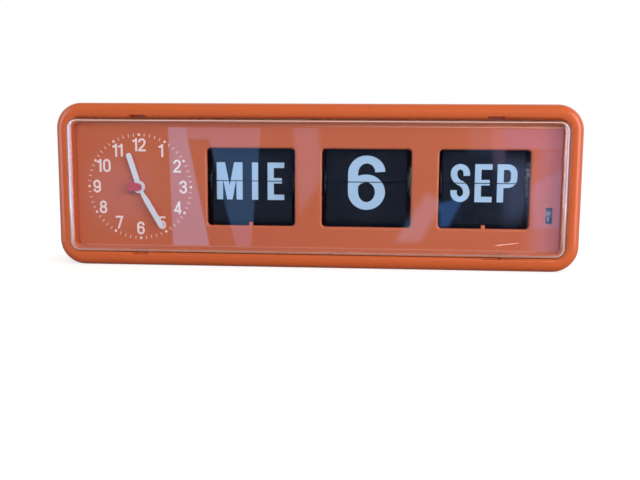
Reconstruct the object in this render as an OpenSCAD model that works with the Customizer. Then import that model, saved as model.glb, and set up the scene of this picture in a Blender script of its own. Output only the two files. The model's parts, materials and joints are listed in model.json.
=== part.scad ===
// Split-flap calendar clock with a round dial, battery driven, for a wall or a shelf.
// X runs to the right, Y to the back and Z up; the origin is under the middle of the case.
// Outlines drawn "in the front view" use X and Z, outlines "in the side view" use Y and Z.

/* [Case] */
// Width of the case
case_w = 408; // [400:1:490]
// Height of the case
case_h = 128; // [122:1:154]
// Depth over all, from the cover's face to the back
depth = 86; // [84:1:104]
// Radius of the case's corners in the front view
corner_r = 20; // [18:0.5:24]
// Wall thickness of the case and its back
wall = 2.5; // [2:0.1:3]
// Width of the rounded rim in the front view
rim_w = 11.5; // [10.5:0.5:13]
// Outer radius of the rim's bullnose
nose_r = 7; // [5:0.5:8]
// How far the rim stands in front of the panel
rim_stand = 12; // [10:0.5:16]
// Fit gap between case parts that drop into each other
fit_gap = 0.3; // [0.2:0.05:0.5]

/* [Clear cover] */
// How far the cover's face stands in front of the panel
cover_stand = 24; // [22:0.5:30]
// Wall thickness of the cover
cover_t = 2; // [1.5:0.1:2.5]
// Radius of the cover's front edge, as far as its corners allow
cover_edge_r = 7; // [3:0.5:8]
// Distance of each snap tab from the middle
clip_x = 138; // [120:1:160]
// Width of each snap tab
clip_w = 12; // [8:0.5:16]

/* [Front panel] */
// Thickness of the front panel
panel_t = 2.5; // [2:0.1:3]
// Width of a leaf window
window_w = 69.7; // [67:0.1:72]
// Height of a leaf window
window_h = 61.1; // [58:0.1:64]
// Corner radius of a leaf window
window_r = 3; // [2:0.5:4]
// Radius of the rounded window edge
window_edge = 2; // [1:0.25:2.25]
// Distance between window centres
window_pitch = 91.2; // [88:0.1:100]
// Distance of the first window from the dial's centre
dial_to_window = 89.1; // [87:0.1:110]
// Distance of the dial's centre from the case's left side
dial_inset = 64.1; // [62:0.1:70]
// Distance of the year window from the last leaf window's centre
year_window_x = 50; // [48:0.5:52]
// Width of the year window
year_window_w = 5.1; // [4:0.1:6]
// Height of the year window
year_window_h = 12.4; // [10:0.1:15]

/* [Split flap modules] */
// Number of leaves of the weekday drum
weekday_leaves = 21; // [14:7:21]
// Number of leaves of the date drum
date_leaves = 31; // [31:31:31]
// Number of leaves of the month drum
month_leaves = 24; // [12:12:24]
// Width of a leaf
leaf_w = 63.5; // [60:0.1:65]
// Distance from the drum's axis to the tip of a leaf that shows
leaf_reach = 26.3; // [24:0.1:27]
// Thickness of a leaf
leaf_t = 0.25; // [0.2:0.01:0.25]
// Radius of the circle of leaf pins
pin_circle_r = 13; // [12.5:0.1:14]
// Radius of a leaf pin
leaf_pin_r = 0.35; // [0.3:0.01:0.35]
// Clearance round a pin or shaft that turns
running = 0.06; // [0.04:0.01:0.1]
// Thickness of a drum flange
flange_t = 1.2; // [1:0.1:1.5]
// Radius of the drum axles
axle_r = 2; // [1.5:0.1:2.5]
// Teeth of the setting gear on a drum
drum_teeth = 30; // [28:1:32]
// Teeth of the gear on a thumbwheel
thumb_teeth = 14; // [12:1:14]
// Radius of a thumbwheel
thumb_r = 16; // [15.5:0.1:17]

/* [Movement] */
// Width of the movement
movement_w = 48; // [46:0.5:50]
// Height of the movement
movement_h = 52; // [50:0.5:56]
// Radius of the threaded bush that holds the movement
bush_r = 3; // [2.9:0.1:3.5]
// Length of the hour hand
hour_hand_l = 28; // [24:0.5:30]
// Length of the minute hand
minute_hand_l = 37; // [32:0.5:38]
// Length of the second hand
second_hand_l = 8.5; // [8:0.5:20]
// Hour that the hands show
show_hour = 11; // [0:1:11]
// Minute that the hands show
show_minute = 25; // [0:1:59]

/* [Battery] */
// Diameter of the battery cell
cell_d = 26.2; // [20:0.1:27]
// Length of the battery cell
cell_l = 50; // [44:0.5:50]

/* [Hidden] */
$fn = 48;

e = 0.01;
orange = "#c8643c";
black = "#20242c";
pale = "#e8e6df";
steel = "#b4b8bc";
brass = "#c8a24a";

// Depths along Y
back_y = depth / 2;
panel_y = cover_stand - depth / 2;
panel_back_y = panel_y + panel_t;
rim_y = panel_y - rim_stand;
cover_inner_y = back_y - wall;

// The drums' common axis
leaf_gap = 6;
drum_y = panel_back_y + leaf_gap + pin_circle_r;
drum_z = case_h / 2 + 3;

// Places along X
dial_x = dial_inset - case_w / 2;
dial_z = case_h / 2 - 1.9;
weekday_x = dial_x + dial_to_window;
date_x = weekday_x + window_pitch;
month_x = date_x + window_pitch;
year_x = month_x + year_window_x;
year_z = case_h / 2 - 21.2;
window_z = drum_z - 4.4;
window_tab_w = 3;
window_tab_h = 2.8;

// Across one module, counted from its middle: leaf, flange, ratchet wheel, gear, thumbwheel, cheek
leaf_end_gap = 0.25;
flange_x = leaf_w / 2 + leaf_end_gap;
flange_out_x = flange_x + flange_t;
ratchet_x = flange_out_x + 1;
ratchet_t = 2;
gear_x = ratchet_x + ratchet_t;
gear_t = 2;
disc_x = gear_x + gear_t + 0.4;
disc_t = 2.6;
cheek_t = 1.5;
right_cheek_x = disc_x + disc_t + 0.8;
left_cheek_x = -(flange_out_x + 5);
carry_cam_x = left_cheek_x + 1;
carry_cam_t = 2;
collar_r = 4;
drum_core_r = 7;
flange_r = pin_circle_r + 1.6;
ratchet_out_r = 11.5;
ratchet_in_r = 9.7;

// Setting gears
gear_m = 1;
thumb_y = drum_y + gear_m * (drum_teeth + thumb_teeth) / 2;
thumb_show = 3.5;
pocket_y = thumb_y + thumb_r - thumb_show;
pocket_w = 20;
pocket_h = 40;

// Rods under the drums
rod_r = 2;
rod_z = 18;
advance_rod_y = drum_y + 3.5;
month_rod_y = drum_y + 15.5;

// Frames
frame_floor_z = 9;
frame_floor_t = 2;
frame_top_z = drum_z + 38;
frame_front_t = 2;
frame_flange_h = 8;
frame_screw_dx = 26;

// Year wheel, on a pin of the month frame
year_wheel_r = 12;
year_wheel_w = 6.4;
year_pin_r = 1.5;
year_y = panel_back_y + 1.5 + year_wheel_r;

// Movement train: modules and tooth counts, all seen from the front
mesh_gap = 0.08;
cannon_teeth = 12;
motion_teeth = 36;
motion_m = 0.5;
motion_pinion_teeth = 12;
hour_teeth = 48;
motion_d = motion_m * (cannon_teeth + motion_teeth) / 2;
hour_m = 2 * motion_d / (motion_pinion_teeth + hour_teeth);
day_drive_teeth = 20;
day_teeth = 40;
day_m = 0.9;
day_d = day_m * (day_drive_teeth + day_teeth) / 2;
seconds_pinion_teeth = 8;
third_teeth = 60;
third_m = 0.35;
third_pinion_teeth = 8;
centre_teeth = 64;
third_d = third_m * (seconds_pinion_teeth + third_teeth) / 2;
centre_m = 2 * third_d / (third_pinion_teeth + centre_teeth);
third_dir = 130;
day_x = dial_x + day_d;
motion_z = dial_z - motion_d;

// Shafts of the dial train, each running in the next
second_r = 0.6;
minute_r = 1.5;
hour_r = 2.3;

// Depths in the movement
plate_t = 1.5;
mv_front_y = panel_back_y;
mv_gear_y = mv_front_y + plate_t + 0.8;
mv_depth = 21;
nut_t = 1.2;
hour_hand_y = panel_y - 2.8;
minute_hand_y = hour_hand_y - 1.5;
second_hand_y = minute_hand_y - 1.3;
knob_r = 8;
knob_pocket_r = 13;
knob_pocket_d = 8;

// Battery bay
cell_x = dial_x - 43.1;
cell_gap = 0.9;
door_t = 2;
cell_y = back_y - door_t - cell_gap - 3 - cell_d / 2;
bay_w = cell_d + 2 * cell_gap;
bay_l = cell_l + 7;
bay_y = cell_y - cell_d / 2 - cell_gap;
bay_wall = 1.5;
door_w = bay_w + 2.6;
door_l = bay_l + 2.6;
door_pin_r = 0.7;
knuckle_r = 1;

// Extrudes an outline of the front view from one depth to another
module slab(y0, y1) {
    translate([0, y1, 0]) rotate([90, 0, 0]) linear_extrude(y1 - y0) children();
}

// Extrudes an outline of the side view from one X to another
module cheek(x0, x1) {
    translate([x0, 0, 0]) rotate([90, 0, 90]) linear_extrude(x1 - x0) children();
}

// Round bar along X, from x0 to x1
module bar_x(r, x0, x1, y, z) {
    translate([x0, y, z]) rotate([0, 90, 0]) cylinder(r = r, h = x1 - x0);
}

// Round bar along Y, from the front depth y0 to y1
module bar_y(r, y0, y1, x, z) {
    translate([x, y1, z]) rotate([90, 0, 0]) cylinder(r = r, h = y1 - y0);
}

// Rectangle with round corners about the origin
module round_rect(w, h, r) {
    square([w - 2 * r, h], center = true);
    square([w, h - 2 * r], center = true);
    for (sx = [-1, 1], sz = [-1, 1]) translate([sx * (w / 2 - r), sz * (h / 2 - r)]) circle(r);
}

// Carries a section round a rounded rectangle of the front view. The section's first coordinate is
// the distance from the corner's centre, its second the distance towards the viewer.
module sweep_round(w, h, r) {
    module sides(length, out) {
        translate([-length / 2, out, 0]) rotate([90, 0, 90]) linear_extrude(length) children();
    }
    rotate([90, 0, 0]) {
        for (turn = [0, 180]) rotate([0, 0, turn]) {
            sides(w - 2 * r, h / 2 - r) children();
            translate([w / 2 - r, h / 2 - r, 0]) rotate_extrude(angle = 90) children();
        }
        for (turn = [90, 270]) rotate([0, 0, turn]) {
            sides(h - 2 * r, w / 2 - r) children();
            translate([h / 2 - r, w / 2 - r, 0]) rotate_extrude(angle = 90) children();
        }
    }
}

// Bent strip or wire of even thickness along a list of points
module strip(points, t) {
    for (i = [0 : len(points) - 2]) {
        a = points[i];
        b = points[i + 1];
        translate(a) rotate(atan2(b[1] - a[1], b[0] - a[0]))
            translate([0, -t / 2]) square([norm(b - a), t]);
    }
    for (p = points) translate(p) circle(d = t);
}

// Angle that the flank of an involute tooth turns through from its base circle to radius r
function involute(base, r) = r <= base ? 0 : let (a = acos(base / r)) tan(a) * 180 / PI - a;

// Outline of a spur gear; a tooth points along the angle dir, or a gap does if gap is true
function gear_points(n, m, dir = 0, gap = false) =
    let (pitch = n * m / 2, base = pitch * cos(20), root = pitch - 1.2 * m, tip = pitch + 0.9 * m,
         at_pitch = 90 / n - mesh_gap * m / pitch * 90 / PI, inv0 = involute(base, pitch),
         radii = [root, pitch, tip],
         half = [for (r = radii) at_pitch + inv0 - involute(base, r)],
         start = dir + (gap ? 180 / n : 0))
    [for (i = [0 : n - 1], s = [-1, 1], k = [0 : 2])
        let (j = s < 0 ? k : 2 - k, a = start + i * 360 / n + s * half[j]) radii[j] * [cos(a), sin(a)]];

// Spur gear on an axis along Y
module gear_y(n, m, y0, y1, x, z, dir = 0, gap = false) {
    translate([x, 0, z]) slab(y0, y1) polygon(gear_points(n, m, dir, gap));
}

// The case

lip_r = rim_w - nose_r - 0.5;
lip_u = corner_r - rim_w;
inner_r = corner_r - wall;
cover_screw_r = 1.5;
cover_head_r = 3;
// Air between a rear screw's head and the wall in the case's corner
cover_head_gap = 0.35786;
// Distance of a rear screw from the case's two outer sides; its head stays clear of the corner's wall
boss_in = corner_r - (corner_r - wall - cover_head_r - cover_head_gap) / sqrt(2);
boss_r = 4.5;
panel_post_xs = [-100, 0, 100];
panel_post_z = case_h / 2 - corner_r + (lip_u + inner_r + wall) / 2;
panel_screw_r = 1.1;

// Outline of the rim's section, drawn smaller by t for the hollow behind it
module rim_section(t) {
    front = -rim_y;
    translate([corner_r - nose_r, front - nose_r]) intersection() {
        circle(nose_r - t);
        translate([0, -nose_r]) square(2 * nose_r);
    }
    translate([lip_u + lip_r, front - lip_r]) circle(lip_r - t);
    translate([lip_u + lip_r, -back_y]) square([corner_r - nose_r - lip_u - lip_r, back_y + front - t]);
    translate([lip_u + t, -back_y]) square([lip_r - t, back_y + front - lip_r]);
    translate([corner_r - nose_r, -back_y]) square([nose_r - t, back_y + front - nose_r]);
}

module shell_section() {
    difference() {
        rim_section(0);
        rim_section(wall);
        translate([0, -back_y - e]) square([inner_r, back_y + e - panel_y]);
    }
}

module case_shell() {
    color(orange) difference() {
        union() {
            translate([0, 0, case_h / 2]) sweep_round(case_w, case_h, corner_r) shell_section();
            for (sx = [-1, 1], sz = [-1, 1])
                bar_y(boss_r, rim_y + nose_r, cover_inner_y, sx * (case_w / 2 - boss_in),
                      case_h / 2 + sz * (case_h / 2 - boss_in));
            for (x = panel_post_xs, sz = [-1, 1])
                bar_y(3, rim_y + wall / 2, panel_y, x, case_h / 2 + sz * panel_post_z);
        }
        for (sx = [-1, 1], sz = [-1, 1])
            bar_y(cover_screw_r, cover_inner_y - 15, cover_inner_y + e, sx * (case_w / 2 - boss_in),
                  case_h / 2 + sz * (case_h / 2 - boss_in));
        for (x = panel_post_xs, sz = [-1, 1])
            bar_y(panel_screw_r, panel_y - 7, panel_y + e, x, case_h / 2 + sz * panel_post_z);
        for (sx = [-1, 1], sz = [-1, 1]) clip_slot(sx, sz);
    }
}

clip_slot_h = 2.2;
clip_slot_gap = 0.5;

// Slot in the rim's inner wall for one snap tab of the cover
module clip_slot(sx, sz) {
    z = case_h / 2 + sz * (case_h / 2 - rim_w + clip_slot_h / 2 - fit_gap);
    translate([sx * clip_x, (rim_y + panel_y) / 2 - e, z])
        cube([clip_w + 2 * clip_slot_gap, rim_stand + 4 * e, clip_slot_h + 2 * fit_gap], center = true);
}

// The clear cover

cover_w = case_w - 2 * rim_w - 2 * fit_gap;
cover_h = case_h - 2 * rim_w - 2 * fit_gap;
cover_r = lip_u - fit_gap;
cover_edge = min(cover_edge_r, cover_r - 0.2);

// Ring that rounds the front edge of a block: what lies between a square corner and a quarter circle
module edge_cutter(r, edge, front) {
    difference() {
        translate([r - edge, front - edge]) square(edge + e);
        translate([r - edge, front - edge]) circle(edge);
    }
}

// Block with round corners in the front view and a round front edge
module rounded_block(w, h, r, edge, y0, y1) {
    difference() {
        slab(y0, y1) round_rect(w, h, r);
        sweep_round(w, h, r) edge_cutter(r, edge, -y0);
    }
}

module clear_cover() {
    color("#e8eef2", 0.3) translate([0, 0, case_h / 2]) {
        difference() {
            rounded_block(cover_w, cover_h, cover_r, cover_edge, -depth / 2, panel_y);
            rounded_block(cover_w - 2 * cover_t, cover_h - 2 * cover_t, cover_r - cover_t, cover_edge - cover_t,
                          cover_t - depth / 2, panel_y + e);
        }
        for (sx = [-1, 1], sz = [-1, 1])
            translate([sx * clip_x - clip_w / 2, panel_y - 9, 0])
                cheek(0, clip_w) translate([0, sz * cover_h / 2])
                    polygon([[0, -sz * cover_t / 2], [9, -sz * cover_t / 2], [9, sz * 0.6], [5, sz * 1.3], [3.5, sz * 1.3], [0, 0]]);
    }
}

// The front panel

panel_w = case_w - 2 * wall - 2 * fit_gap;
panel_h = case_h - 2 * wall - 2 * fit_gap;
panel_r = inner_r - fit_gap;
frame_boss_r = 3;

// Rounds the front edge of a window: the ring between a square corner and a quarter circle
module window_rounding() {
    difference() {
        translate([window_r - e, -panel_y - window_edge]) square(window_edge + e);
        translate([window_r + window_edge, -panel_y - window_edge]) circle(window_edge);
    }
}

module leaf_window(x, tab) {
    difference() {
        translate([x, 0, window_z]) {
            slab(panel_y - e, panel_back_y + e) round_rect(window_w, window_h, window_r);
            sweep_round(window_w, window_h, window_r) window_rounding();
        }
        if (tab) translate([x - window_tab_w / 2, panel_y + 1, window_z - window_h / 2 - 1])
            cube([window_tab_w, panel_t, window_tab_h + 1]);
    }
}

// Places of the bosses that carry a module's frame
function frame_screw_places(x) = [
    for (dx = [-frame_screw_dx, frame_screw_dx])
        for (z = [frame_top_z - frame_flange_h / 2, frame_floor_z + 12]) [x + dx, z]
];
all_frame_screws = [for (x = [weekday_x, date_x, month_x]) each frame_screw_places(x)];

module front_panel() {
    color(orange) difference() {
        union() {
            translate([0, 0, case_h / 2]) slab(panel_y, panel_back_y) round_rect(panel_w, panel_h, panel_r);
            for (p = all_frame_screws) bar_y(frame_boss_r, panel_back_y - e, panel_back_y + frame_front_t, p[0], p[1]);
            bar_y(minute_r, panel_back_y - e, mv_gear_y + 5, day_x, dial_z);
        }
        for (p = all_frame_screws) bar_y(panel_screw_r, panel_y + 1, panel_back_y + frame_front_t + e, p[0], p[1]);
        for (sx = [-1, 1], sz = [-1, 1])
            bar_y(boss_r + fit_gap, panel_y - e, panel_back_y + e, sx * (case_w / 2 - boss_in),
                  case_h / 2 + sz * (case_h / 2 - boss_in));
        for (x = panel_post_xs, sz = [-1, 1])
            bar_y(panel_screw_r + fit_gap, panel_y - e, panel_back_y + e, x, case_h / 2 + sz * panel_post_z);
        leaf_window(weekday_x, true);
        leaf_window(date_x, false);
        leaf_window(month_x, true);
        translate([year_x, 0, year_z]) slab(panel_y - e, panel_back_y + e)
            square([year_window_w, year_window_h], center = true);
        bar_y(bush_r + fit_gap / 3, panel_y - e, panel_back_y + e, dial_x, dial_z);
    }
}

// Screws: a shank with a pan head behind the clamped part

module screw_y(r, head_r, y0, y_head, head_t, x, z) {
    difference() {
        union() {
            bar_y(r, y0, y_head, x, z);
            bar_y(head_r, y_head, y_head + head_t, x, z);
        }
        for (turn = [0, 90]) translate([x, y_head + head_t, z]) rotate([0, turn, 0])
            cube([head_r * 1.3, head_t, 0.6], center = true);
    }
}

module rear_cover_screws() {
    color(steel) for (sx = [-1, 1], sz = [-1, 1])
        screw_y(cover_screw_r, cover_head_r, cover_inner_y - 12, back_y - 1.6, 1.4, sx * (case_w / 2 - boss_in),
                case_h / 2 + sz * (case_h / 2 - boss_in));
}

module panel_screws() {
    color(steel) for (x = panel_post_xs, sz = [-1, 1])
        screw_y(panel_screw_r, 2.4, panel_y - 6, panel_back_y, 1.4, x, case_h / 2 + sz * panel_post_z);
}

module frame_screws() {
    color(steel) for (p = all_frame_screws)
        screw_y(panel_screw_r, 4, panel_y + 1.2, panel_back_y + frame_front_t, 1.4, p[0], p[1]);
}

// The rear cover

keyhole_x = 125;
keyhole_z = case_h - 34;
keyhole_r = 4.5;
keyslot_w = 4.4;
keyslot_l = 9;
knob_x = dial_x;
knob_z = motion_z;
bay_cz = case_h / 2;

module pocket_outer(x, x_w, z, h, y_floor, t) {
    translate([x, 0, z]) slab(y_floor - t, cover_inner_y + e) round_rect(x_w + 2 * t, h + 2 * t, 4 + t);
}

module rear_cover() {
    thumb_xs = [for (x = [weekday_x, date_x, month_x]) x + disc_x + disc_t / 2];
    color(orange) difference() {
        union() {
            translate([0, 0, case_h / 2]) slab(cover_inner_y, back_y) round_rect(panel_w, panel_h, panel_r);
            for (x = thumb_xs) pocket_outer(x, pocket_w, drum_z, pocket_h, pocket_y, bay_wall);
            bar_y(knob_pocket_r + bay_wall, back_y - knob_pocket_d - bay_wall, cover_inner_y + e, knob_x, knob_z);
            translate([cell_x, 0, bay_cz])
                slab(bay_y - bay_wall, cover_inner_y + e) square([bay_w + 2 * bay_wall, bay_l + 2 * bay_wall], center = true);
            for (z = [wall + 6, case_h - wall - 6]) translate([-case_w / 2 + 20, cover_inner_y - 3, z - 0.75])
                cube([case_w - 40, 3 + e, 1.5]);
        }
        for (x = thumb_xs) {
            translate([x, 0, drum_z]) slab(pocket_y, back_y + e) round_rect(pocket_w, pocket_h, 4);
            translate([x, 0, drum_z]) slab(pocket_y - bay_wall - e, pocket_y + e)
                square([disc_t + 1.6, 2 * sqrt(pow(thumb_r, 2) - pow(pocket_y - bay_wall - thumb_y, 2)) + 2], center = true);
        }
        bar_y(knob_pocket_r, back_y - knob_pocket_d, back_y + e, knob_x, knob_z);
        bar_y(knob_stem_r + 0.5, back_y - knob_pocket_d - bay_wall - e, back_y, knob_x, knob_z);
        translate([cell_x, 0, bay_cz]) slab(bay_y, back_y + e) square([bay_w, bay_l], center = true);
        translate([cell_x, 0, bay_cz]) slab(back_y - door_t - 0.2, back_y + e)
            square([door_w + 0.6, door_l + 0.6], center = true);
        bar_x(door_pin_r + running, cell_x - door_w / 2 - 1.2, cell_x + door_w / 2 + 1.2,
              back_y - knuckle_r, bay_cz - door_l / 2 + knuckle_r);
        for (sx = [-1, 1]) translate([sx * keyhole_x, 0, keyhole_z]) {
            bar_y(keyhole_r, cover_inner_y - 5, back_y + e, 0, 0);
            slab(cover_inner_y - 5, back_y + e) {
                translate([-keyslot_w / 2, 0]) square([keyslot_w, keyslot_l]);
                translate([0, keyslot_l]) circle(keyslot_w / 2);
            }
        }
        for (sx = [-1, 1], sz = [-1, 1]) {
            x = sx * (case_w / 2 - boss_in);
            z = case_h / 2 + sz * (case_h / 2 - boss_in);
            bar_y(cover_screw_r + fit_gap, cover_inner_y - e, back_y + e, x, z);
            bar_y(cover_head_r + fit_gap, back_y - 1.6, back_y + e, x, z);
        }
    }
}

module battery_door() {
    axis_y = back_y - knuckle_r;
    axis_z = bay_cz - door_l / 2 + knuckle_r;
    grip_z = bay_cz + door_l / 2 - 9;
    color(orange) difference() {
        union() {
            translate([cell_x - door_w / 2, back_y - door_t, axis_z]) cube([door_w, door_t, door_l - knuckle_r]);
            bar_x(knuckle_r, cell_x - door_w / 2, cell_x + door_w / 2, axis_y, axis_z);
            bar_x(door_pin_r, cell_x - door_w / 2 - 0.9, cell_x + door_w / 2 + 0.9, axis_y, axis_z);
        }
        for (i = [0 : 4]) translate([cell_x - 7, back_y - 0.6, grip_z + i * 1.6]) cube([14, 0.7, 0.7]);
    }
}

module battery_cell() {
    color("#3a3f48") translate([cell_x, cell_y, bay_cz]) {
        translate([0, 0, -cell_l / 2]) cylinder(d = cell_d, h = cell_l - 1.5);
        translate([0, 0, cell_l / 2 - 1.5 - e]) cylinder(d = 6.5, h = 1.5 + e);
    }
}

module battery_contact_positive() {
    top = bay_cz + bay_l / 2;
    color(steel) cheek(cell_x - 4, cell_x + 4)
        strip([[bay_y + 3, top - 0.3], [cell_y + 8, top - 0.3], [cell_y + 8, top - 2], [cell_y - 5, top - 3.1]], 0.5);
}

module battery_contact_negative() {
    low = bay_cz - bay_l / 2;
    color(steel) cheek(cell_x - 4, cell_x + 4)
        strip([[bay_y + 3, low + 0.3], [cell_y + 9, low + 0.3], [cell_y + 9, low + 1.4], [cell_y - 4, low + 3.1]], 0.5);
}

// One split-flap module about the drum's axis

// Angle of leaf i round the drum, from the front over the top
function leaf_angle(n, i) = (i + 0.5) * 360 / n;

// How far a leaf tips back: upright in front, leaning with the drum over the top, hanging behind
function leaf_tilt(n, i) = leaf_angle(n, i) <= 180 ? leaf_angle(n, i) - 180 / n : 180;

module leaf_outline(n) {
    rise = pin_circle_r * sin(180 / n);
    heel = rise - 0.35;
    tip = leaf_reach - rise;
    neck = leaf_w / 2 - 0.75;
    polygon([[-neck, -heel], [neck, -heel], [neck, 4.5], [leaf_w / 2, 5], [leaf_w / 2, tip - 0.6],
             [leaf_w / 2 - 0.6, tip], [0.6 - leaf_w / 2, tip], [-leaf_w / 2, tip - 0.6], [-leaf_w / 2, 5], [-neck, 4.5]]);
}

module leaf(n, i, x) {
    a = leaf_angle(n, i);
    neck = leaf_w / 2 - 0.75;
    translate([x, drum_y - pin_circle_r * cos(a), drum_z + pin_circle_r * sin(a)]) rotate([-leaf_tilt(n, i), 0, 0]) {
        slab(-leaf_t / 2, leaf_t / 2) leaf_outline(n);
        for (s = [0, 1]) mirror([s, 0, 0]) bar_x(leaf_pin_r, neck - 0.1, flange_out_x - 0.2, 0, 0);
    }
}

module leaf_pack(n, x) {
    color(black) for (i = [1 : n - 1]) leaf(n, i, x);
}

module flip_leaf(n, x) {
    color(black) leaf(n, 0, x);
}

module drum(n, x, carry) {
    color(pale) translate([x, 0, 0]) difference() {
        union() {
            bar_x(drum_core_r, -flange_out_x, flange_out_x, drum_y, drum_z);
            bar_x(collar_r, left_cheek_x + 0.4, right_cheek_x - 0.4, drum_y, drum_z);
            for (s = [0, 1]) mirror([s, 0, 0]) bar_x(flange_r, flange_x, flange_out_x, drum_y, drum_z);
            if (carry) cheek(carry_cam_x, carry_cam_x + carry_cam_t) translate([drum_y, drum_z]) difference() {
                circle(flange_r - 2);
                translate([0, 2 - flange_r]) circle(3);
            }
        }
        bar_x(axle_r + running, left_cheek_x - 1, right_cheek_x + 1, drum_y, drum_z);
        for (i = [0 : n - 1]) {
            a = leaf_angle(n, i);
            bar_x(leaf_pin_r + running, -flange_out_x - e, flange_out_x + e,
                  drum_y - pin_circle_r * cos(a), drum_z + pin_circle_r * sin(a));
        }
        for (a = [0 : 60 : 300])
            bar_x(1.4, -flange_out_x - e, flange_out_x + e, drum_y + 9.8 * cos(a), drum_z + 9.8 * sin(a));
    }
}

module axle(x) {
    color(steel) bar_x(axle_r, x + left_cheek_x - cheek_t - 0.5, x + right_cheek_x + cheek_t + 0.5, drum_y, drum_z);
}

// Ratchet wheel with one notch for each leaf, moulded with the setting gear
module ratchet_wheel(n, x) {
    notches = [for (i = [0 : n - 1], k = [0 : 2])
        let (a = 180 + (i + [0, 0.28, 0.72][k]) * 360 / n, r = [ratchet_in_r, ratchet_out_r, ratchet_out_r][k])
        [r * cos(a), r * sin(a)]];
    color(pale) difference() {
        union() {
            cheek(x + ratchet_x, x + gear_x + e) translate([drum_y, drum_z]) polygon(notches);
            cheek(x + gear_x, x + gear_x + gear_t) translate([drum_y, drum_z])
                polygon(gear_points(drum_teeth, gear_m, 0));
            bar_x(collar_r + 2, x + flange_out_x, x + ratchet_x + e, drum_y, drum_z);
        }
        bar_x(collar_r, x + flange_out_x - 1, x + gear_x + gear_t + 1, drum_y, drum_z);
    }
}

module thumbwheel(x) {
    knurls = 40;
    color(orange) difference() {
        union() {
            cheek(x + gear_x + 0.1, x + disc_x + e) translate([thumb_y, drum_z])
                polygon(gear_points(thumb_teeth, gear_m, 180, true));
            cheek(x + disc_x, x + disc_x + disc_t) translate([thumb_y, drum_z]) difference() {
                circle(thumb_r);
                for (i = [0 : knurls - 1]) rotate(i * 360 / knurls) translate([thumb_r, 0]) rotate(45) square(0.9, center = true);
            }
        }
        bar_x(axle_r + running, x + gear_x - 1, x + disc_x + disc_t + 1, thumb_y, drum_z);
    }
}

// Side view of a frame's cheek: a foot, a front column and a hub, joined by braces
module cheek_outline() {
    hub = [drum_y, drum_z];
    translate([panel_back_y, frame_floor_z]) square([4, frame_top_z - frame_floor_z]);
    translate([panel_back_y, frame_floor_z]) square([month_rod_y + 6 - panel_back_y, 16]);
    translate(hub) circle(7);
    strip([hub, [panel_back_y + 3, drum_z + 22]], 6);
    strip([hub, [panel_back_y + 3, frame_floor_z + 14]], 6);
    strip([hub, [month_rod_y - 2, frame_floor_z + 12]], 6);
}

module frame(x, year = false) {
    color(black) difference() {
        union() {
            cheek(x + left_cheek_x - cheek_t, x + left_cheek_x) cheek_outline();
            cheek(x + right_cheek_x, x + right_cheek_x + cheek_t) {
                cheek_outline();
                strip([[drum_y, drum_z], [thumb_y, drum_z]], 8);
                if (year) translate([year_y, year_z]) circle(5);
            }
            if (year) bar_x(year_pin_r, x + right_cheek_x, year_x + year_wheel_w / 2 + 1, year_y, year_z);
            bar_x(axle_r, x + gear_x + 0.3, x + right_cheek_x + e, thumb_y, drum_z);
            for (z = [frame_top_z - frame_flange_h, frame_floor_z + 8])
                translate([x + left_cheek_x - cheek_t, panel_back_y, z])
                    cube([right_cheek_x - left_cheek_x + 2 * cheek_t, frame_front_t, frame_flange_h]);
            translate([x + left_cheek_x - cheek_t, panel_back_y, frame_floor_z])
                cube([right_cheek_x - left_cheek_x + 2 * cheek_t, month_rod_y + 6 - panel_back_y, frame_floor_t]);
        }
        bar_x(axle_r, x + left_cheek_x - cheek_t - 1, x + left_cheek_x + e, drum_y, drum_z);
        bar_x(axle_r, x + right_cheek_x - e, x + right_cheek_x + cheek_t + 1, drum_y, drum_z);
        for (y = [advance_rod_y, month_rod_y])
            bar_x(rod_r + running, x + left_cheek_x - cheek_t - 1, x + right_cheek_x + cheek_t + 1, y, rod_z);
        for (p = frame_screw_places(x))
            bar_y(frame_boss_r + 0.1, panel_back_y - 1, panel_back_y + frame_front_t + 1, p[0], p[1]);
    }
}

// Spring with a nose that drops into a notch of the ratchet wheel
module detent_spring(n, x) {
    nose_h = 0.2 * 2 * PI * ratchet_out_r / n;
    front = drum_y - ratchet_out_r - 0.5;
    floor_z = frame_floor_z + frame_floor_t + 0.2;
    color(steel) cheek(x + ratchet_x + 0.4, x + gear_x - 0.4) {
        strip([[front + 7, floor_z], [front, floor_z], [front, drum_z + 5]], 0.3);
        polygon([[front, drum_z - nose_h], [drum_y - ratchet_in_r - 0.5, drum_z], [front, drum_z + nose_h]]);
    }
}

// Springy finger in front of the tip of the leaf that will fall next
module leaf_catch(x) {
    leaf_front = drum_y - pin_circle_r * cos(5) - leaf_t / 2;
    bar_y0 = panel_back_y + frame_front_t;
    tip_z = drum_z + leaf_reach;
    color(steel) cheek(x - 2.5, x + 2.5)
        strip([[bar_y0 + 0.15, frame_top_z - 1], [bar_y0 + 0.15, frame_top_z - 8], [leaf_front - 0.75, tip_z + 1],
               [leaf_front - 0.75, tip_z - 0.5]], 0.3);
}

// The rods that advance the drums

module pawl(x, rod_y) {
    star_low = drum_z - ratchet_out_r;
    color(steel) {
        difference() {
            bar_x(rod_r + 1.6, x + ratchet_x, x + gear_x, rod_y, rod_z);
            bar_x(rod_r, x + ratchet_x - 1, x + gear_x + 1, rod_y, rod_z);
        }
        cheek(x + ratchet_x + 0.5, x + gear_x - 0.5)
            strip([[rod_y, rod_z + rod_r + 1.2], [rod_y - 1.5, star_low - 12], [drum_y - 2.5, star_low - 1.2]], 0.5);
    }
}

trip_arm_t = 3;
cam_low_y = mv_gear_y + 2.4;
cam_rise = 3;
cam_r = 14;
trip_gap = 0.4;

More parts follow.
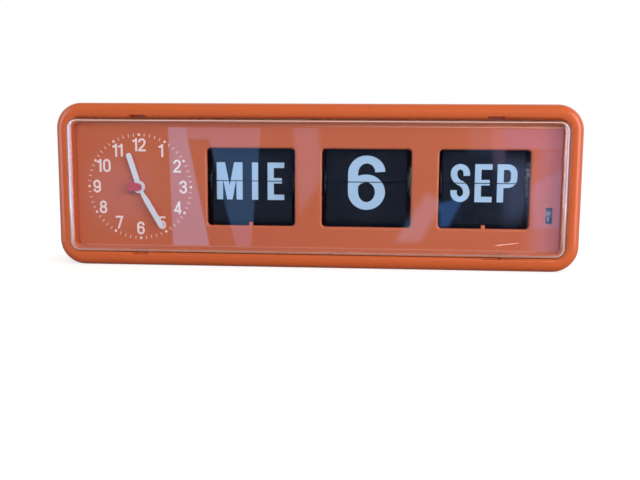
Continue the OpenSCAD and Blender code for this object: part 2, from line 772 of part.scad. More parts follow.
module advance_rod() {
    right = date_x + right_cheek_x + cheek_t + 2;
    tip_y = cam_low_y + cam_rise + trip_gap;
    tip_z = dial_z - cam_r;
    color(steel) {
        bar_x(rod_r, day_x - 4, right, advance_rod_y, rod_z);
        cheek(day_x - trip_arm_t / 2, day_x + trip_arm_t / 2) {
            translate([advance_rod_y, rod_z]) circle(4);
            strip([[advance_rod_y, rod_z], [tip_y + 1.5, tip_z - 8], [tip_y + 1.5, tip_z]], 3);
        }
    }
}

module month_rod() {
    cam_low = drum_z - flange_r + 2;
    arm_x = date_x + carry_cam_x;
    color(steel) {
        bar_x(rod_r, date_x + left_cheek_x - cheek_t - 3, month_x + right_cheek_x + cheek_t + 2, month_rod_y, rod_z);
        cheek(arm_x, arm_x + carry_cam_t) {
            translate([month_rod_y, rod_z]) circle(4);
            strip([[month_rod_y, rod_z], [drum_y + 8, cam_low - 10], [drum_y + 4, cam_low - 1.5]], 2);
        }
    }
}

// Wire spring that pulls the advance rod back; it stands in front of the rod beside the trip arm
module advance_spring() {
    x = day_x + 6;
    color(steel) cheek(x, x + 0.8)
        strip([[panel_back_y + 0.4, rod_z - 9], [panel_back_y + 0.4, rod_z + 4],
               [advance_rod_y - rod_r - 4, rod_z + 7], [advance_rod_y - rod_r - 0.7, rod_z]], 0.8);
}

// Year wheel: a small cup with four printed places on its rim, on a pin of the month frame
module year_wheel() {
    x0 = year_x - year_wheel_w / 2;
    x1 = year_x + year_wheel_w / 2;
    color(pale) difference() {
        union() {
            difference() {
                bar_x(year_wheel_r, x0, x1, year_y, year_z);
                bar_x(year_wheel_r - 1.5, x0 + 1.2, x1 + e, year_y, year_z);
            }
            bar_x(year_pin_r + 1.5, x0, x1, year_y, year_z);
        }
        bar_x(year_pin_r + running, x0 - 1, x1 + 1, year_y, year_z);
    }
}

// The movement

module movement_plate() {
    color(black) difference() {
        union() {
            translate([dial_x, 0, dial_z]) slab(mv_front_y, mv_front_y + plate_t) round_rect(movement_w, movement_h, 4);
            bar_y(bush_r, panel_y - nut_t - 0.3, mv_front_y + e, dial_x, dial_z);
        }
        bar_y(hour_r + running, panel_y - 3, mv_front_y + plate_t + e, dial_x, dial_z);
    }
}

module movement_case() {
    y0 = mv_front_y + plate_t;
    y1 = mv_front_y + mv_depth;
    color(black) difference() {
        translate([dial_x, 0, dial_z]) slab(y0, y1) round_rect(movement_w, movement_h, 4);
        translate([dial_x, 0, dial_z]) slab(y0 - e, y1 - plate_t) round_rect(movement_w - 3, movement_h - 3, 2.5);
        translate([dial_x + movement_w / 2 - 4, y0 - e, dial_z - 20]) cube([6, 6.5, 40]);
        bar_y(1 + running, y0, y1 + e, dial_x, motion_z);
        bar_y(second_r + running, y1 - plate_t - e, y1 - 0.5, dial_x, dial_z);
    }
}

nut_r = 4.1;

module dial_nut() {
    color(brass) difference() {
        bar_y(nut_r, panel_y - nut_t, panel_y, dial_x, dial_z);
        bar_y(bush_r, panel_y - nut_t - 1, panel_y + e, dial_x, dial_z);
        for (s = [-1, 1]) translate([dial_x + s * nut_r, panel_y - nut_t, dial_z]) cube([1.2, nut_t, 1], center = true);
    }
}

module hour_wheel() {
    y = mv_gear_y;
    color(brass) difference() {
        union() {
            bar_y(hour_r, hour_hand_y, y + 2.2, dial_x, dial_z);
            gear_y(hour_teeth, hour_m, y, y + 1, dial_x, dial_z, -90, true);
            gear_y(day_drive_teeth, day_m, y + 1 - e, y + 2.2, dial_x, dial_z, 0);
        }
        bar_y(minute_r + running, hour_hand_y - 1, y + 3, dial_x, dial_z);
    }
}

module minute_arbor() {
    y = mv_gear_y;
    color(brass) difference() {
        union() {
            bar_y(minute_r, minute_hand_y, y + 8, dial_x, dial_z);
            gear_y(cannon_teeth, motion_m, y + 2.5, y + 4.2, dial_x, dial_z, -90, false);
            gear_y(centre_teeth, centre_m, y + 5.8, y + 6.8, dial_x, dial_z, third_dir, false);
        }
        bar_y(second_r + running, minute_hand_y - 1, y + 9, dial_x, dial_z);
    }
}

module third_wheel() {
    y = mv_gear_y;
    x = dial_x + third_d * cos(third_dir);
    z = dial_z + third_d * sin(third_dir);
    color(brass) {
        bar_y(0.6, y + 4, mv_front_y + mv_depth - plate_t - 0.3, x, z);
        gear_y(third_pinion_teeth, centre_m, y + 5.5, y + 7.2, x, z, third_dir + 180, true);
        gear_y(third_teeth, third_m, y + 9.2, y + 10.2, x, z, third_dir + 180, false);
    }
}

module seconds_arbor() {
    y = mv_gear_y;
    color(steel) {
        bar_y(second_r, second_hand_y, mv_front_y + mv_depth - 0.6, dial_x, dial_z);
        gear_y(seconds_pinion_teeth, third_m, y + 8.6, y + 10.6, dial_x, dial_z, third_dir, true);
    }
}

module motion_wheel() {
    y = mv_gear_y;
    color(brass) {
        bar_y(1, y - 0.5, back_y - knob_pocket_d - bay_wall - 3, dial_x, motion_z);
        gear_y(motion_pinion_teeth, hour_m, y, y + 0.9, dial_x, motion_z, 90, false);
        gear_y(motion_teeth, motion_m, y + 2.8, y + 3.9, dial_x, motion_z, 90, true);
    }
}

// Wheel that turns once in 24 hours; the ramp on its back lifts the trip arm once a day
module day_wheel() {
    y = mv_gear_y + 1;
    ring_out = cam_r + 1.5;
    ring_in = cam_r - 1.5;
    slope = atan(cam_rise / (2 * ring_out));
    color(pale) difference() {
        union() {
            gear_y(day_teeth, day_m, y, y + 1.2, day_x, dial_z, 180, true);
            bar_y(3.2, y, y + 4, day_x, dial_z);
            intersection() {
                difference() {
                    bar_y(ring_out, y + 1, cam_low_y + cam_rise, day_x, dial_z);
                    bar_y(ring_in, y, cam_low_y + cam_rise + 1, day_x, dial_z);
                }
                translate([day_x - ring_out, y + 1, dial_z]) rotate([0, 0, slope])
                    translate([0, -10, -30]) cube([60, 10, 60]);
            }
        }
        bar_y(minute_r + running, y - 1, y + 5, day_x, dial_z);
        for (a = [30 : 60 : 330]) bar_y(2.6, y - 1, y + 1.2 + e, day_x + 8.3 * cos(a), dial_z + 8.3 * sin(a));
    }
}

knob_stem_r = 2.5;

module setting_knob() {
    stem_y = back_y - knob_pocket_d - bay_wall - 6;
    disc_y = back_y - knob_pocket_d + 1;
    knurls = 24;
    color(black) difference() {
        union() {
            bar_y(knob_stem_r, stem_y, disc_y + e, knob_x, knob_z);
            translate([knob_x, 0, knob_z]) slab(disc_y, back_y - 1) difference() {
                circle(knob_r);
                for (i = [0 : knurls - 1]) rotate(i * 360 / knurls) translate([knob_r, 0]) circle(0.5);
            }
        }
        bar_y(1, stem_y - 1, stem_y + 3, knob_x, knob_z);
    }
}

module step_motor() {
    y1 = mv_front_y + mv_depth - plate_t;
    color("#b06a3a") {
        bar_y(5, y1 - 9, y1, dial_x + 12, dial_z + 14);
        translate([dial_x + 2, y1 - 6, dial_z + 17.5]) cube([20, 4, 4]);
    }
}

module circuit_board() {
    y1 = mv_front_y + mv_depth - plate_t;
    color("#2f6b3f") translate([dial_x + 2, y1 - 1.6, dial_z - 21]) cube([18, 1.6, 16]);
}

// The hands: flat tapered blades with a round hub and a round tip

function hand_angle(turns) = 90 - 360 * turns;
hour_turn = (show_hour + show_minute / 60) / 12;
minute_turn = show_minute / 60;
second_turn = 0.755;
hand_hub_r = 4.8;

module hand(y, t, turn, hub_r, blade, tip_r, bore_r) {
    difference() {
        translate([dial_x, 0, dial_z]) slab(y, y + t) difference() {
            union() {
                circle(hub_r);
                rotate(hand_angle(turn)) {
                    polygon(blade);
                    if (tip_r > 0) translate([blade[2][0], 0]) circle(tip_r);
                }
            }
        }
        bar_y(bore_r, y - 1, y + t + 1, dial_x, dial_z);
    }
}

module hour_hand() {
    w = 4.3;
    l = hour_hand_l - w / 2;
    color("white") hand(hour_hand_y, 0.7, hour_turn, hand_hub_r,
        [[0, -w / 2], [l / 2, -w / 2], [l, -w / 2], [l, w / 2], [0, w / 2]], w / 2, hour_r);
}

module minute_hand() {
    w = 4.3;
    shoulder = 13;
    l = minute_hand_l - w / 2;
    color("white") hand(minute_hand_y, 0.7, minute_turn, hand_hub_r,
        [[0, -0.8], [shoulder, -w / 2], [l, -w / 2], [l, w / 2], [shoulder, w / 2], [0, 0.8]], w / 2, minute_r);
}

module second_hand() {
    w = 7.6;
    l = second_hand_l;
    color("#c03848") hand(second_hand_y, 0.5, second_turn, 3,
        [[-1, 1 - w / 2], [l / 2, 0.3 - w / 2], [l, -w / 2], [l, w / 2], [l / 2, w / 2 - 0.3], [-1, w / 2 - 1]], 0, second_r);
}

case_shell();
rear_cover();
clear_cover();
front_panel();
battery_door();
battery_cell();
battery_contact_positive();
battery_contact_negative();
rear_cover_screws();
panel_screws();
frame_screws();
frame(weekday_x);  // weekday_frame
frame(date_x);  // date_frame
frame(month_x, true);  // month_frame
axle(weekday_x);  // weekday_axle
axle(date_x);  // date_axle
axle(month_x);  // month_axle
drum(weekday_leaves, weekday_x, false);  // weekday_drum
drum(date_leaves, date_x, true);  // date_drum
drum(month_leaves, month_x, true);  // month_drum
leaf_pack(weekday_leaves, weekday_x);  // weekday_leaf_pack
leaf_pack(date_leaves, date_x);  // date_leaf_pack
leaf_pack(month_leaves, month_x);  // month_leaf_pack
flip_leaf(weekday_leaves, weekday_x);  // weekday_flip_leaf
flip_leaf(date_leaves, date_x);  // date_flip_leaf
flip_leaf(month_leaves, month_x);  // month_flip_leaf
ratchet_wheel(weekday_leaves, weekday_x);  // weekday_ratchet_wheel
ratchet_wheel(date_leaves, date_x);  // date_ratchet_wheel
ratchet_wheel(month_leaves, month_x);  // month_ratchet_wheel
detent_spring(weekday_leaves, weekday_x);  // weekday_detent_spring
detent_spring(date_leaves, date_x);  // date_detent_spring
detent_spring(month_leaves, month_x);  // month_detent_spring
leaf_catch(weekday_x);  // weekday_leaf_catch
leaf_catch(date_x);  // date_leaf_catch
leaf_catch(month_x);  // month_leaf_catch
thumbwheel(weekday_x);  // weekday_thumbwheel
thumbwheel(date_x);  // date_thumbwheel
thumbwheel(month_x);  // month_thumbwheel
advance_rod();
pawl(weekday_x, advance_rod_y);  // weekday_pawl
pawl(date_x, advance_rod_y);  // date_pawl
month_rod();
pawl(month_x, month_rod_y);  // month_pawl
advance_spring();
year_wheel();
movement_plate();
movement_case();
dial_nut();
hour_wheel();
minute_arbor();
third_wheel();
seconds_arbor();
motion_wheel();
day_wheel();
setting_knob();
step_motor();
circuit_board();
hour_hand();
minute_hand();
second_hand();
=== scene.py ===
# %% [markdown]
# # A calendar clock with a dial and split leaves
#
# The clock is a long plastic case under a clear cover. On its left is a round dial with three
# hands. On its right three drums carry thin split leaves that show the weekday, the date and
# the month.
#
# The mechanical model comes first and fixes every size. What is made here is the look of it:
# smooth skins, a clear cover that bends light, print, and the finish of each material.

import json
from math import cos, pi, radians, sin

import bmesh
import bpy
import numpy as np
from mathutils import Matrix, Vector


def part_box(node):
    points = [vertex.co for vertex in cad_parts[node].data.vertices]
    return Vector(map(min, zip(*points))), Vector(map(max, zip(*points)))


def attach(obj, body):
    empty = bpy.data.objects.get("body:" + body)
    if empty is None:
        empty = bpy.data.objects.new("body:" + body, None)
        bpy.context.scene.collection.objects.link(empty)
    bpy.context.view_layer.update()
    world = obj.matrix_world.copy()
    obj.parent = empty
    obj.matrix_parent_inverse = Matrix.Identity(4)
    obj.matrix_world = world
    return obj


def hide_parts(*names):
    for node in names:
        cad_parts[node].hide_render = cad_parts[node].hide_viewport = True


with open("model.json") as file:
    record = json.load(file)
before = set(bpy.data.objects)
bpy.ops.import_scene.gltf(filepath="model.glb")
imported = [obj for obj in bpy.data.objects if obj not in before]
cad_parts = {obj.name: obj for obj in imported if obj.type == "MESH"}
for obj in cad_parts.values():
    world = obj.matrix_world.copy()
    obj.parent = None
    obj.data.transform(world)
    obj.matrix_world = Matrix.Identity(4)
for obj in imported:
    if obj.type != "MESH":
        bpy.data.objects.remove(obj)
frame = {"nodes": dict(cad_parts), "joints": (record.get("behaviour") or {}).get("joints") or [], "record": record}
nodes = frame["nodes"]
joints = {j["name"]: j for j in frame["joints"]}
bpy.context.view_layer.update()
scene = bpy.context.scene
MM = 0.001

# %% [markdown]
# ## Camera
#
# A camera is matched to a photograph by finding the place and the lens from which the known
# sizes of the object fall on the picture. Here the case's outline, the three windows and the
# dial were used. The clock is seen a little from the right and from a hand's breadth above.

# %% Camera
FOCAL_PX, PICTURE_PX, SENSOR_W = 842.9, 640, 36  # the lens in pixels of a picture 640 wide
CAMERA_AT = (0.0542, -0.679, 0.1118)
camera_data = bpy.data.cameras.new("camera")
camera_data.sensor_width = SENSOR_W
camera_data.lens = FOCAL_PX / PICTURE_PX * SENSOR_W
camera = bpy.data.objects.new("camera", camera_data)
to_right = np.array([0.99708375, 0.07611873, 0.00547137])
downwards = np.array([0.01571653, -0.13465599, -0.99076776])
ahead = np.array([-0.07467923, 0.98796442, -0.13545963])
place = np.eye(4)
place[:3, 0], place[:3, 1], place[:3, 2] = to_right, -downwards, -ahead
place[:3, 3] = CAMERA_AT
camera.matrix_world = Matrix(place.tolist())
scene.collection.objects.link(camera)
scene.camera = camera
scene.view_settings.view_transform = "Standard"
print("lens", round(camera_data.lens, 2), "mm")

# %% [markdown]
# ## How the materials are put together
#
# A material is a small network of nodes. One helper adds a node, sets its values and joins its
# inputs, so that each material reads from top to bottom as a recipe. Colours are written as
# they look on a screen and turned into the linear values that the renderer works with.
# Patterns read Object coordinates, which are metres on the object, so a grain of 0.4 mm is
# written as a scale of one over 0.4 mm.

# %% Helpers for materials


def rgb(hex_code):
    """A screen colour such as #c8643c as linear red, green, blue and an alpha of 1."""
    c = np.array([int(hex_code[i : i + 2], 16) for i in (1, 3, 5)]) / 255
    linear = np.where(c <= 0.04045, c / 12.92, ((c + 0.055) / 1.055) ** 2.4)
    return [*linear.tolist(), 1.0]


def add(tree, kind, settings=None, links=None):
    """Adds a node. A setting gives a value to a property or an input; a link joins a socket to an input.

    Inputs are named, or numbered where several have one name."""
    n = tree.nodes.new(kind)
    for key, value in (settings or {}).items():
        if isinstance(key, str) and key not in n.inputs:
            setattr(n, key, value)
        else:
            n.inputs[key].default_value = value
    for key, socket in (links or {}).items():
        tree.links.new(socket, n.inputs[key])
    return n


def new_material(name):
    """An empty material, as (material, tree, place on the object, surface to join a shader to)."""
    material = bpy.data.materials.new(name)
    material.use_nodes = True
    tree = material.node_tree
    tree.nodes.clear()
    place = add(tree, "ShaderNodeTexCoord").outputs["Object"]
    return material, tree, place, add(tree, "ShaderNodeOutputMaterial").inputs["Surface"]


def on_rays(tree, *kinds):
    """1 on rays of any of the named kinds, else 0."""
    ray = add(tree, "ShaderNodeLightPath")
    any_kind = ray.outputs[kinds[0]]
    for kind in kinds[1:]:
        largest = add(tree, "ShaderNodeMath", {"operation": "MAXIMUM"}, {0: any_kind, 1: ray.outputs[kind]})
        any_kind = largest.outputs[0]
    return any_kind


def give(material, *names):
    """Puts a material in every slot of the named pieces of the mechanical model."""
    for name in names:
        slots = nodes[name].data.materials
        slots.clear()
        slots.append(material)


print("helpers ready")

# %% [markdown]
# ## Orange ABS
#
# The case, the panel, the back and the thumbwheels are injection moulded ABS, coloured in the
# mass. The mould is polished, so the surface is glossy with a very fine, soft unevenness, and
# the colour drifts a little along the flow of the plastic. The eye reads that from soft
# highlights whose edges are not quite straight.

# %% Orange ABS, moulded in a polished mould


def moulded(name, dark, light, rough_low, rough_high, grain_mm, grain_height):
    """Moulded plastic: two close colours that drift over 60 mm and a gloss that varies over 9 mm.

    Its surface has a fine grain, and a swell 30 mm across so slight that only highlights show it."""
    material, tree, place, surface = new_material(name)
    drift = add(tree, "ShaderNodeTexNoise", {"Scale": 1 / 0.06, "Detail": 2.0}, {"Vector": place})
    colour = add(
        tree, "ShaderNodeMix", {"data_type": "RGBA", 6: rgb(dark), 7: rgb(light)}, {0: drift.outputs["Fac"]}
    )
    haze = add(tree, "ShaderNodeTexNoise", {"Scale": 1 / 0.009, "Detail": 4.0}, {"Vector": place})
    gloss = add(
        tree,
        "ShaderNodeMapRange",
        {"To Min": rough_low, "To Max": rough_high},
        {"Value": haze.outputs["Fac"]},
    )
    grain = add(tree, "ShaderNodeTexNoise", {"Scale": 1 / (grain_mm * MM), "Detail": 3.0}, {"Vector": place})
    swell = add(tree, "ShaderNodeTexNoise", {"Scale": 1 / 0.03, "Detail": 0.0}, {"Vector": place})
    fine = add(
        tree,
        "ShaderNodeBump",
        {"Strength": 0.6, "Distance": grain_height * MM},
        {"Height": grain.outputs["Fac"]},
    )
    soft = add(
        tree,
        "ShaderNodeBump",
        {"Strength": 0.4, "Distance": 0.03 * MM},
        {"Height": swell.outputs["Fac"], "Normal": fine.outputs["Normal"]},
    )
    shader = add(
        tree,
        "ShaderNodeBsdfPrincipled",
        {"IOR": 1.54},
        {
            "Base Color": colour.outputs[2],
            "Roughness": gloss.outputs["Result"],
            "Normal": soft.outputs["Normal"],
        },
    )
    tree.links.new(shader.outputs[0], surface)
    return material


orange_abs = moulded("orange_abs_polished_mould", "#cc5c26", "#d2612a", 0.28, 0.36, 0.5, 0.002)
# Painted cool light: the panel is the same orange ABS, and this pinker, duller copy of its colour stands in for
# the bluish light that falls on it.
panel_abs_painted_cool_light = moulded("orange_abs_panel_painted_cool_light", "#c76642", "#cd6c47", 0.30, 0.38, 0.5, 0.002)
black_abs = moulded("black_abs_textured_mould", "#17181b", "#1e2024", 0.38, 0.55, 0.35, 0.02)
white_acetal = moulded("white_acetal_moulded", "#dcdad2", "#e6e4dd", 0.35, 0.5, 0.5, 0.008)
battery_jacket = moulded("battery_jacket_printed_film", "#2f3640", "#3a434f", 0.2, 0.3, 0.8, 0.004)
# Painted shade: the year wheel is white acetal like the other pale pieces, and this darker grey copy stands in for
# the shade of its slim window.
acetal_painted_shade = moulded("acetal_moulded_painted_shade", "#8e8894", "#9a949f", 0.35, 0.5, 0.5, 0.008)
board_green = moulded("circuit_board_solder_mask", "#1f5a37", "#286b43", 0.25, 0.35, 0.6, 0.01)
coil_copper = moulded("coil_enamelled_wire", "#8a4a26", "#a35a30", 0.25, 0.4, 0.25, 0.05)
print("moulded plastics ready")

# %% [markdown]
# ## Leaves and print
#
# The leaves are thin black sheet with a satin face, screen printed in white. The drums show
# them through a clear cover, so the sheet must stay dark while its gloss still catches some
# light. Handling and a thousand falls leave hair scratches across the face.

# %% Satin black leaf sheet and its white ink


def leaf_sheet():
    """Dark satin sheet: a haze 12 mm across, and hair scratches that are a noise stretched along X."""
    material, tree, place, surface = new_material("leaf_sheet_satin_black")
    haze = add(tree, "ShaderNodeTexNoise", {"Scale": 1 / 0.012, "Detail": 3.0}, {"Vector": place})
    long_way = add(tree, "ShaderNodeMapping", {"Scale": (30.0, 400.0, 1500.0)}, {"Vector": place})
    scratch = add(tree, "ShaderNodeTexNoise", {"Scale": 1.0, "Detail": 2.0}, {"Vector": long_way.outputs[0]})
    colour = add(
        tree,
        "ShaderNodeMix",
        {"data_type": "RGBA", 6: rgb("#0a0f1b"), 7: rgb("#111827")},
        {0: haze.outputs["Fac"]},
    )
    both = add(
        tree, "ShaderNodeMath", {"operation": "MULTIPLY"}, {0: haze.outputs["Fac"], 1: scratch.outputs["Fac"]}
    )
    gloss = add(
        tree,
        "ShaderNodeMapRange",
        {"From Max": 0.5, "To Min": 0.26, "To Max": 0.42},
        {"Value": both.outputs[0]},
    )
    lines = add(
        tree, "ShaderNodeBump", {"Strength": 0.25, "Distance": 0.01 * MM}, {"Height": scratch.outputs["Fac"]}
    )
    shader = add(
        tree,
        "ShaderNodeBsdfPrincipled",
        {"IOR": 1.4},
        {
            "Base Color": colour.outputs[2],
            "Roughness": gloss.outputs["Result"],
            "Normal": lines.outputs["Normal"],
        },
    )
    tree.links.new(shader.outputs[0], surface)
    return material


def ink(name, colour_a, colour_b):
    """Screen ink: matt, a little uneven over 20 mm, with the mottle of its 0.25 mm printing mesh."""
    material, tree, place, surface = new_material(name)
    mottle = add(tree, "ShaderNodeTexNoise", {"Scale": 1 / 0.00025, "Detail": 1.0}, {"Vector": place})
    patch = add(tree, "ShaderNodeTexNoise", {"Scale": 1 / 0.02, "Detail": 2.0}, {"Vector": place})
    both = add(
        tree, "ShaderNodeMath", {"operation": "MULTIPLY"}, {0: mottle.outputs["Fac"], 1: patch.outputs["Fac"]}
    )
    colour = add(
        tree, "ShaderNodeMix", {"data_type": "RGBA", 6: rgb(colour_a), 7: rgb(colour_b)}, {0: both.outputs[0]}
    )
    gloss = add(tree, "ShaderNodeMapRange", {"To Min": 0.5, "To Max": 0.65}, {"Value": mottle.outputs["Fac"]})
    shader = add(
        tree,
        "ShaderNodeBsdfPrincipled",
        {"IOR": 1.5},
        {"Base Color": colour.outputs[2], "Roughness": gloss.outputs["Result"]},
    )
    tree.links.new(shader.outputs[0], surface)
    return material


leaf_black = leaf_sheet()
leaf_ink = ink("leaf_ink_screen_printed", "#aad2f8", "#b8dafc")
dial_ink = ink("dial_ink_screen_printed", "#f6e2e4", "#fcf2f2")
year_ink = ink("year_ink_screen_printed", "#06070a", "#0e1014")
print("leaf sheet and inks ready")

# %% [markdown]
# ## Metals and lacquer
#
# The hands are stamped aluminium under white and red lacquer. The axles, rods and screws are
# bright drawn steel, whose fine lines run along the bar. The train's wheels are cut brass.

# %% Lacquer, steel and brass


def lacquer(name, colour_a, colour_b):
    """Sprayed lacquer: a coat that varies over 15 mm, with a faint orange peel 1.2 mm across."""
    material, tree, place, surface = new_material(name)
    drift = add(tree, "ShaderNodeTexNoise", {"Scale": 1 / 0.015, "Detail": 2.0}, {"Vector": place})
    colour = add(
        tree,
        "ShaderNodeMix",
        {"data_type": "RGBA", 6: rgb(colour_a), 7: rgb(colour_b)},
        {0: drift.outputs["Fac"]},
    )
    peel = add(tree, "ShaderNodeTexNoise", {"Scale": 1 / 0.0012, "Detail": 1.0}, {"Vector": place})
    bump = add(
        tree, "ShaderNodeBump", {"Strength": 0.4, "Distance": 0.01 * MM}, {"Height": peel.outputs["Fac"]}
    )
    gloss = add(tree, "ShaderNodeMapRange", {"To Min": 0.25, "To Max": 0.38}, {"Value": drift.outputs["Fac"]})
    shader = add(
        tree,
        "ShaderNodeBsdfPrincipled",
        {"IOR": 1.5, "Coat Weight": 0.3, "Coat Roughness": 0.15},
        {
            "Base Color": colour.outputs[2],
            "Roughness": gloss.outputs["Result"],
            "Normal": bump.outputs["Normal"],
        },
    )
    tree.links.new(shader.outputs[0], surface)
    return material


def bare_metal(name, dark, light, rough_low, rough_high, stretch):
    """Bare metal: a noise squeezed across the drawing direction gives fine lines along it."""
    material, tree, place, surface = new_material(name)
    drawn = add(tree, "ShaderNodeMapping", {"Scale": stretch}, {"Vector": place})
    lines = add(tree, "ShaderNodeTexNoise", {"Scale": 1.0, "Detail": 3.0}, {"Vector": drawn.outputs[0]})
    colour = add(
        tree, "ShaderNodeMix", {"data_type": "RGBA", 6: rgb(dark), 7: rgb(light)}, {0: lines.outputs["Fac"]}
    )
    gloss = add(
        tree,
        "ShaderNodeMapRange",
        {"To Min": rough_low, "To Max": rough_high},
        {"Value": lines.outputs["Fac"]},
    )
    bump = add(
        tree, "ShaderNodeBump", {"Strength": 0.3, "Distance": 0.004 * MM}, {"Height": lines.outputs["Fac"]}
    )
    shader = add(
        tree,
        "ShaderNodeBsdfPrincipled",
        {"Metallic": 1.0},
        {
            "Base Color": colour.outputs[2],
            "Roughness": gloss.outputs["Result"],
            "Normal": bump.outputs["Normal"],
        },
    )
    tree.links.new(shader.outputs[0], surface)
    return material


white_lacquer = lacquer("white_lacquer_on_aluminium", "#dbe2f0", "#e8ecf6")
red_lacquer = lacquer("red_lacquer_on_aluminium", "#c2444f", "#cc505a")
drawn_steel = bare_metal("steel_drawn_bright", "#a9adb2", "#c3c7cb", 0.22, 0.38, (60.0, 4000.0, 4000.0))
spring_steel = bare_metal("spring_steel_rolled", "#8f959c", "#aab0b6", 0.25, 0.42, (3000.0, 3000.0, 120.0))
blued_steel = bare_metal("spring_steel_blued", "#161a24", "#232938", 0.35, 0.5, (3000.0, 3000.0, 120.0))
cut_brass = bare_metal("brass_cut_wheel", "#b8923c", "#d2ad55", 0.22, 0.36, (2500.0, 90.0, 2500.0))
print("metals and lacquers ready")

# %% [markdown]
# ## Clear acrylic
#
# The cover is clear moulded acrylic. It mirrors a little at its face and much more at its
# rounded edges, and it bends what is seen through them. A shadow cast by clear plastic is
# pale, so light passes straight through it: the network swaps the glass for plain transparency
# on rays that go to a lamp or gather soft light. Wiping leaves a faint haze, which is a change
# of gloss only.

# %% Clear acrylic, polished


def clear_acrylic():
    """Glass of index 1.49 that lets light through, with a wiping haze 50 mm across in its gloss."""
    material, tree, place, surface = new_material("acrylic_clear_polished")
    wiped = add(tree, "ShaderNodeTexNoise", {"Scale": 1 / 0.05, "Detail": 3.0}, {"Vector": place})
    gloss = add(
        tree,
        "ShaderNodeMapRange",
        {"From Min": 0.5, "To Min": 0.0, "To Max": 0.03},
        {"Value": wiped.outputs["Fac"]},
    )
    glass = add(
        tree,
        "ShaderNodeBsdfPrincipled",
        {"Base Color": (1.0, 1.0, 1.0, 1.0), "IOR": 1.49, "Transmission Weight": 1.0},
        {"Roughness": gloss.outputs["Result"]},
    )
    through = add(tree, "ShaderNodeBsdfTransparent", {"Color": (0.97, 0.97, 0.98, 1.0)})
    to_light = on_rays(tree, "Is Shadow Ray", "Is Diffuse Ray")
    mix = add(tree, "ShaderNodeMixShader", {}, {0: to_light, 1: glass.outputs[0], 2: through.outputs[0]})
    tree.links.new(mix.outputs[0], surface)
    return material


acrylic = clear_acrylic()
print("acrylic ready")

# %% [markdown]
# ## Finishes on the mechanical pieces
#
# Most pieces of the mechanism have the right shape already. Each gets the finish of the
# material that it is made of on the real clock, except that the year wheel's pale plastic is
# darkened to paint the shade of its window.

# %% Give every mechanical piece its finish
slot_of = {s["node"]: s["material_slot"] for s in frame["record"]["subparts"]}
finish = {
    "orange_abs": orange_abs,
    "clear_acrylic": acrylic,
    "black_leaf": leaf_black,
    "black_plastic": black_abs,
    "pale_plastic": white_acetal,
    "white_lacquer": white_lacquer,
    "red_lacquer": red_lacquer,
    "steel": drawn_steel,
    "spring_steel": spring_steel,
    "brass": cut_brass,
    "battery_jacket": battery_jacket,
    "copper_coil": coil_copper,
    "green_board": board_green,
}
for name, slot in slot_of.items():
    give(finish[slot], name)
give(blued_steel, "weekday_leaf_catch", "date_leaf_catch", "month_leaf_catch")
# The year wheel's pale plastic is darkened to paint the shade of its window.
give(acetal_painted_shade, "year_wheel")
used = {material.name for name in slot_of for material in nodes[name].data.materials}
print(len(slot_of), "pieces finished in", len(used), "materials")

# %% [markdown]
# ## Smooth skins
#
# The mechanical model arrives as loose triangles, which would show as flats on round walls.
# A copy is merged, so that neighbouring triangles share their corners and shade as one
# surface, and triangles in one plane become one face. Edges sharper than 32 degrees stay
# crisp, and normals are weighted by face size, so that the flats beside a rounding stay flat.

# %% Merged and smoothed copies
MERGE = 0.002 * MM
FLAT_ANGLE, SHARP_ANGLE = radians(0.2), radians(32)


def smooth_skin(name, body, material):
    """A copy that stands for a mechanical piece; its triangles share corners and shade smoothly."""
    mesh = nodes[name].data.copy()
    mesh.name = name + "_skin"
    bm = bmesh.new()
    bm.from_mesh(mesh)
    bmesh.ops.remove_doubles(bm, verts=bm.verts, dist=MERGE)
    bmesh.ops.dissolve_limit(bm, angle_limit=FLAT_ANGLE, verts=bm.verts, edges=bm.edges)
    bm.to_mesh(mesh)
    bm.free()
    mesh.polygons.foreach_set("use_smooth", np.ones(len(mesh.polygons), bool))
    mesh.set_sharp_from_angle(angle=SHARP_ANGLE)
    mesh.materials.clear()
    mesh.materials.append(material)
    skin = bpy.data.objects.new(name + "_skin", mesh)
    scene.collection.objects.link(skin)
    skin.modifiers.new("even", "WEIGHTED_NORMAL").keep_sharp = True
    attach(skin, body)
    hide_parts(name)
    return skin


# The panel's skin takes the orange ABS copy with the painted cool light.
for name, material in (("case_shell", orange_abs), ("front_panel", panel_abs_painted_cool_light), ("rear_cover", orange_abs)):
    skin = smooth_skin(name, "root", material)
    print(skin.name, len(skin.data.polygons), "faces")

# %% [markdown]
# ## The clear cover
#
# The cover is a shallow box with rounded corners and a rounded front edge, 2 mm thick all
# over. Its light comes from how the rounded edges bend and mirror the room, so it has to be
# one truly smooth closed surface. It is worked out as a section carried round a rounded
# rectangle: inside, then round the open back edge, then outside, with a flat face closing
# each front.

# %% A section carried round a rounded rectangle


def rounded_loop(width, height, steps):
    """Stations round a rectangle with round corners, as corner centres and outward directions.

    Every station is centre + u * direction, where u is the distance from the corner's centre.
    Each corner turns through 90 degrees in the given number of steps."""
    turn = np.concatenate([np.linspace(k * pi / 2, (k + 1) * pi / 2, steps + 1) for k in range(4)])
    sign = np.repeat(np.array([[1, 1], [-1, 1], [-1, -1], [1, -1]]), steps + 1, axis=0)
    centre = sign * np.array([width / 2, height / 2])
    return centre, np.stack([np.cos(turn), np.sin(turn)], axis=1)


def arc(u, y, r, start, end, steps):
    """Points of an arc in a section; angles are in degrees, 0 outwards and 90 to the front."""
    a = np.radians(np.linspace(start, end, steps + 1))
    return np.stack([u + r * np.cos(a), y - r * np.sin(a)], axis=1)


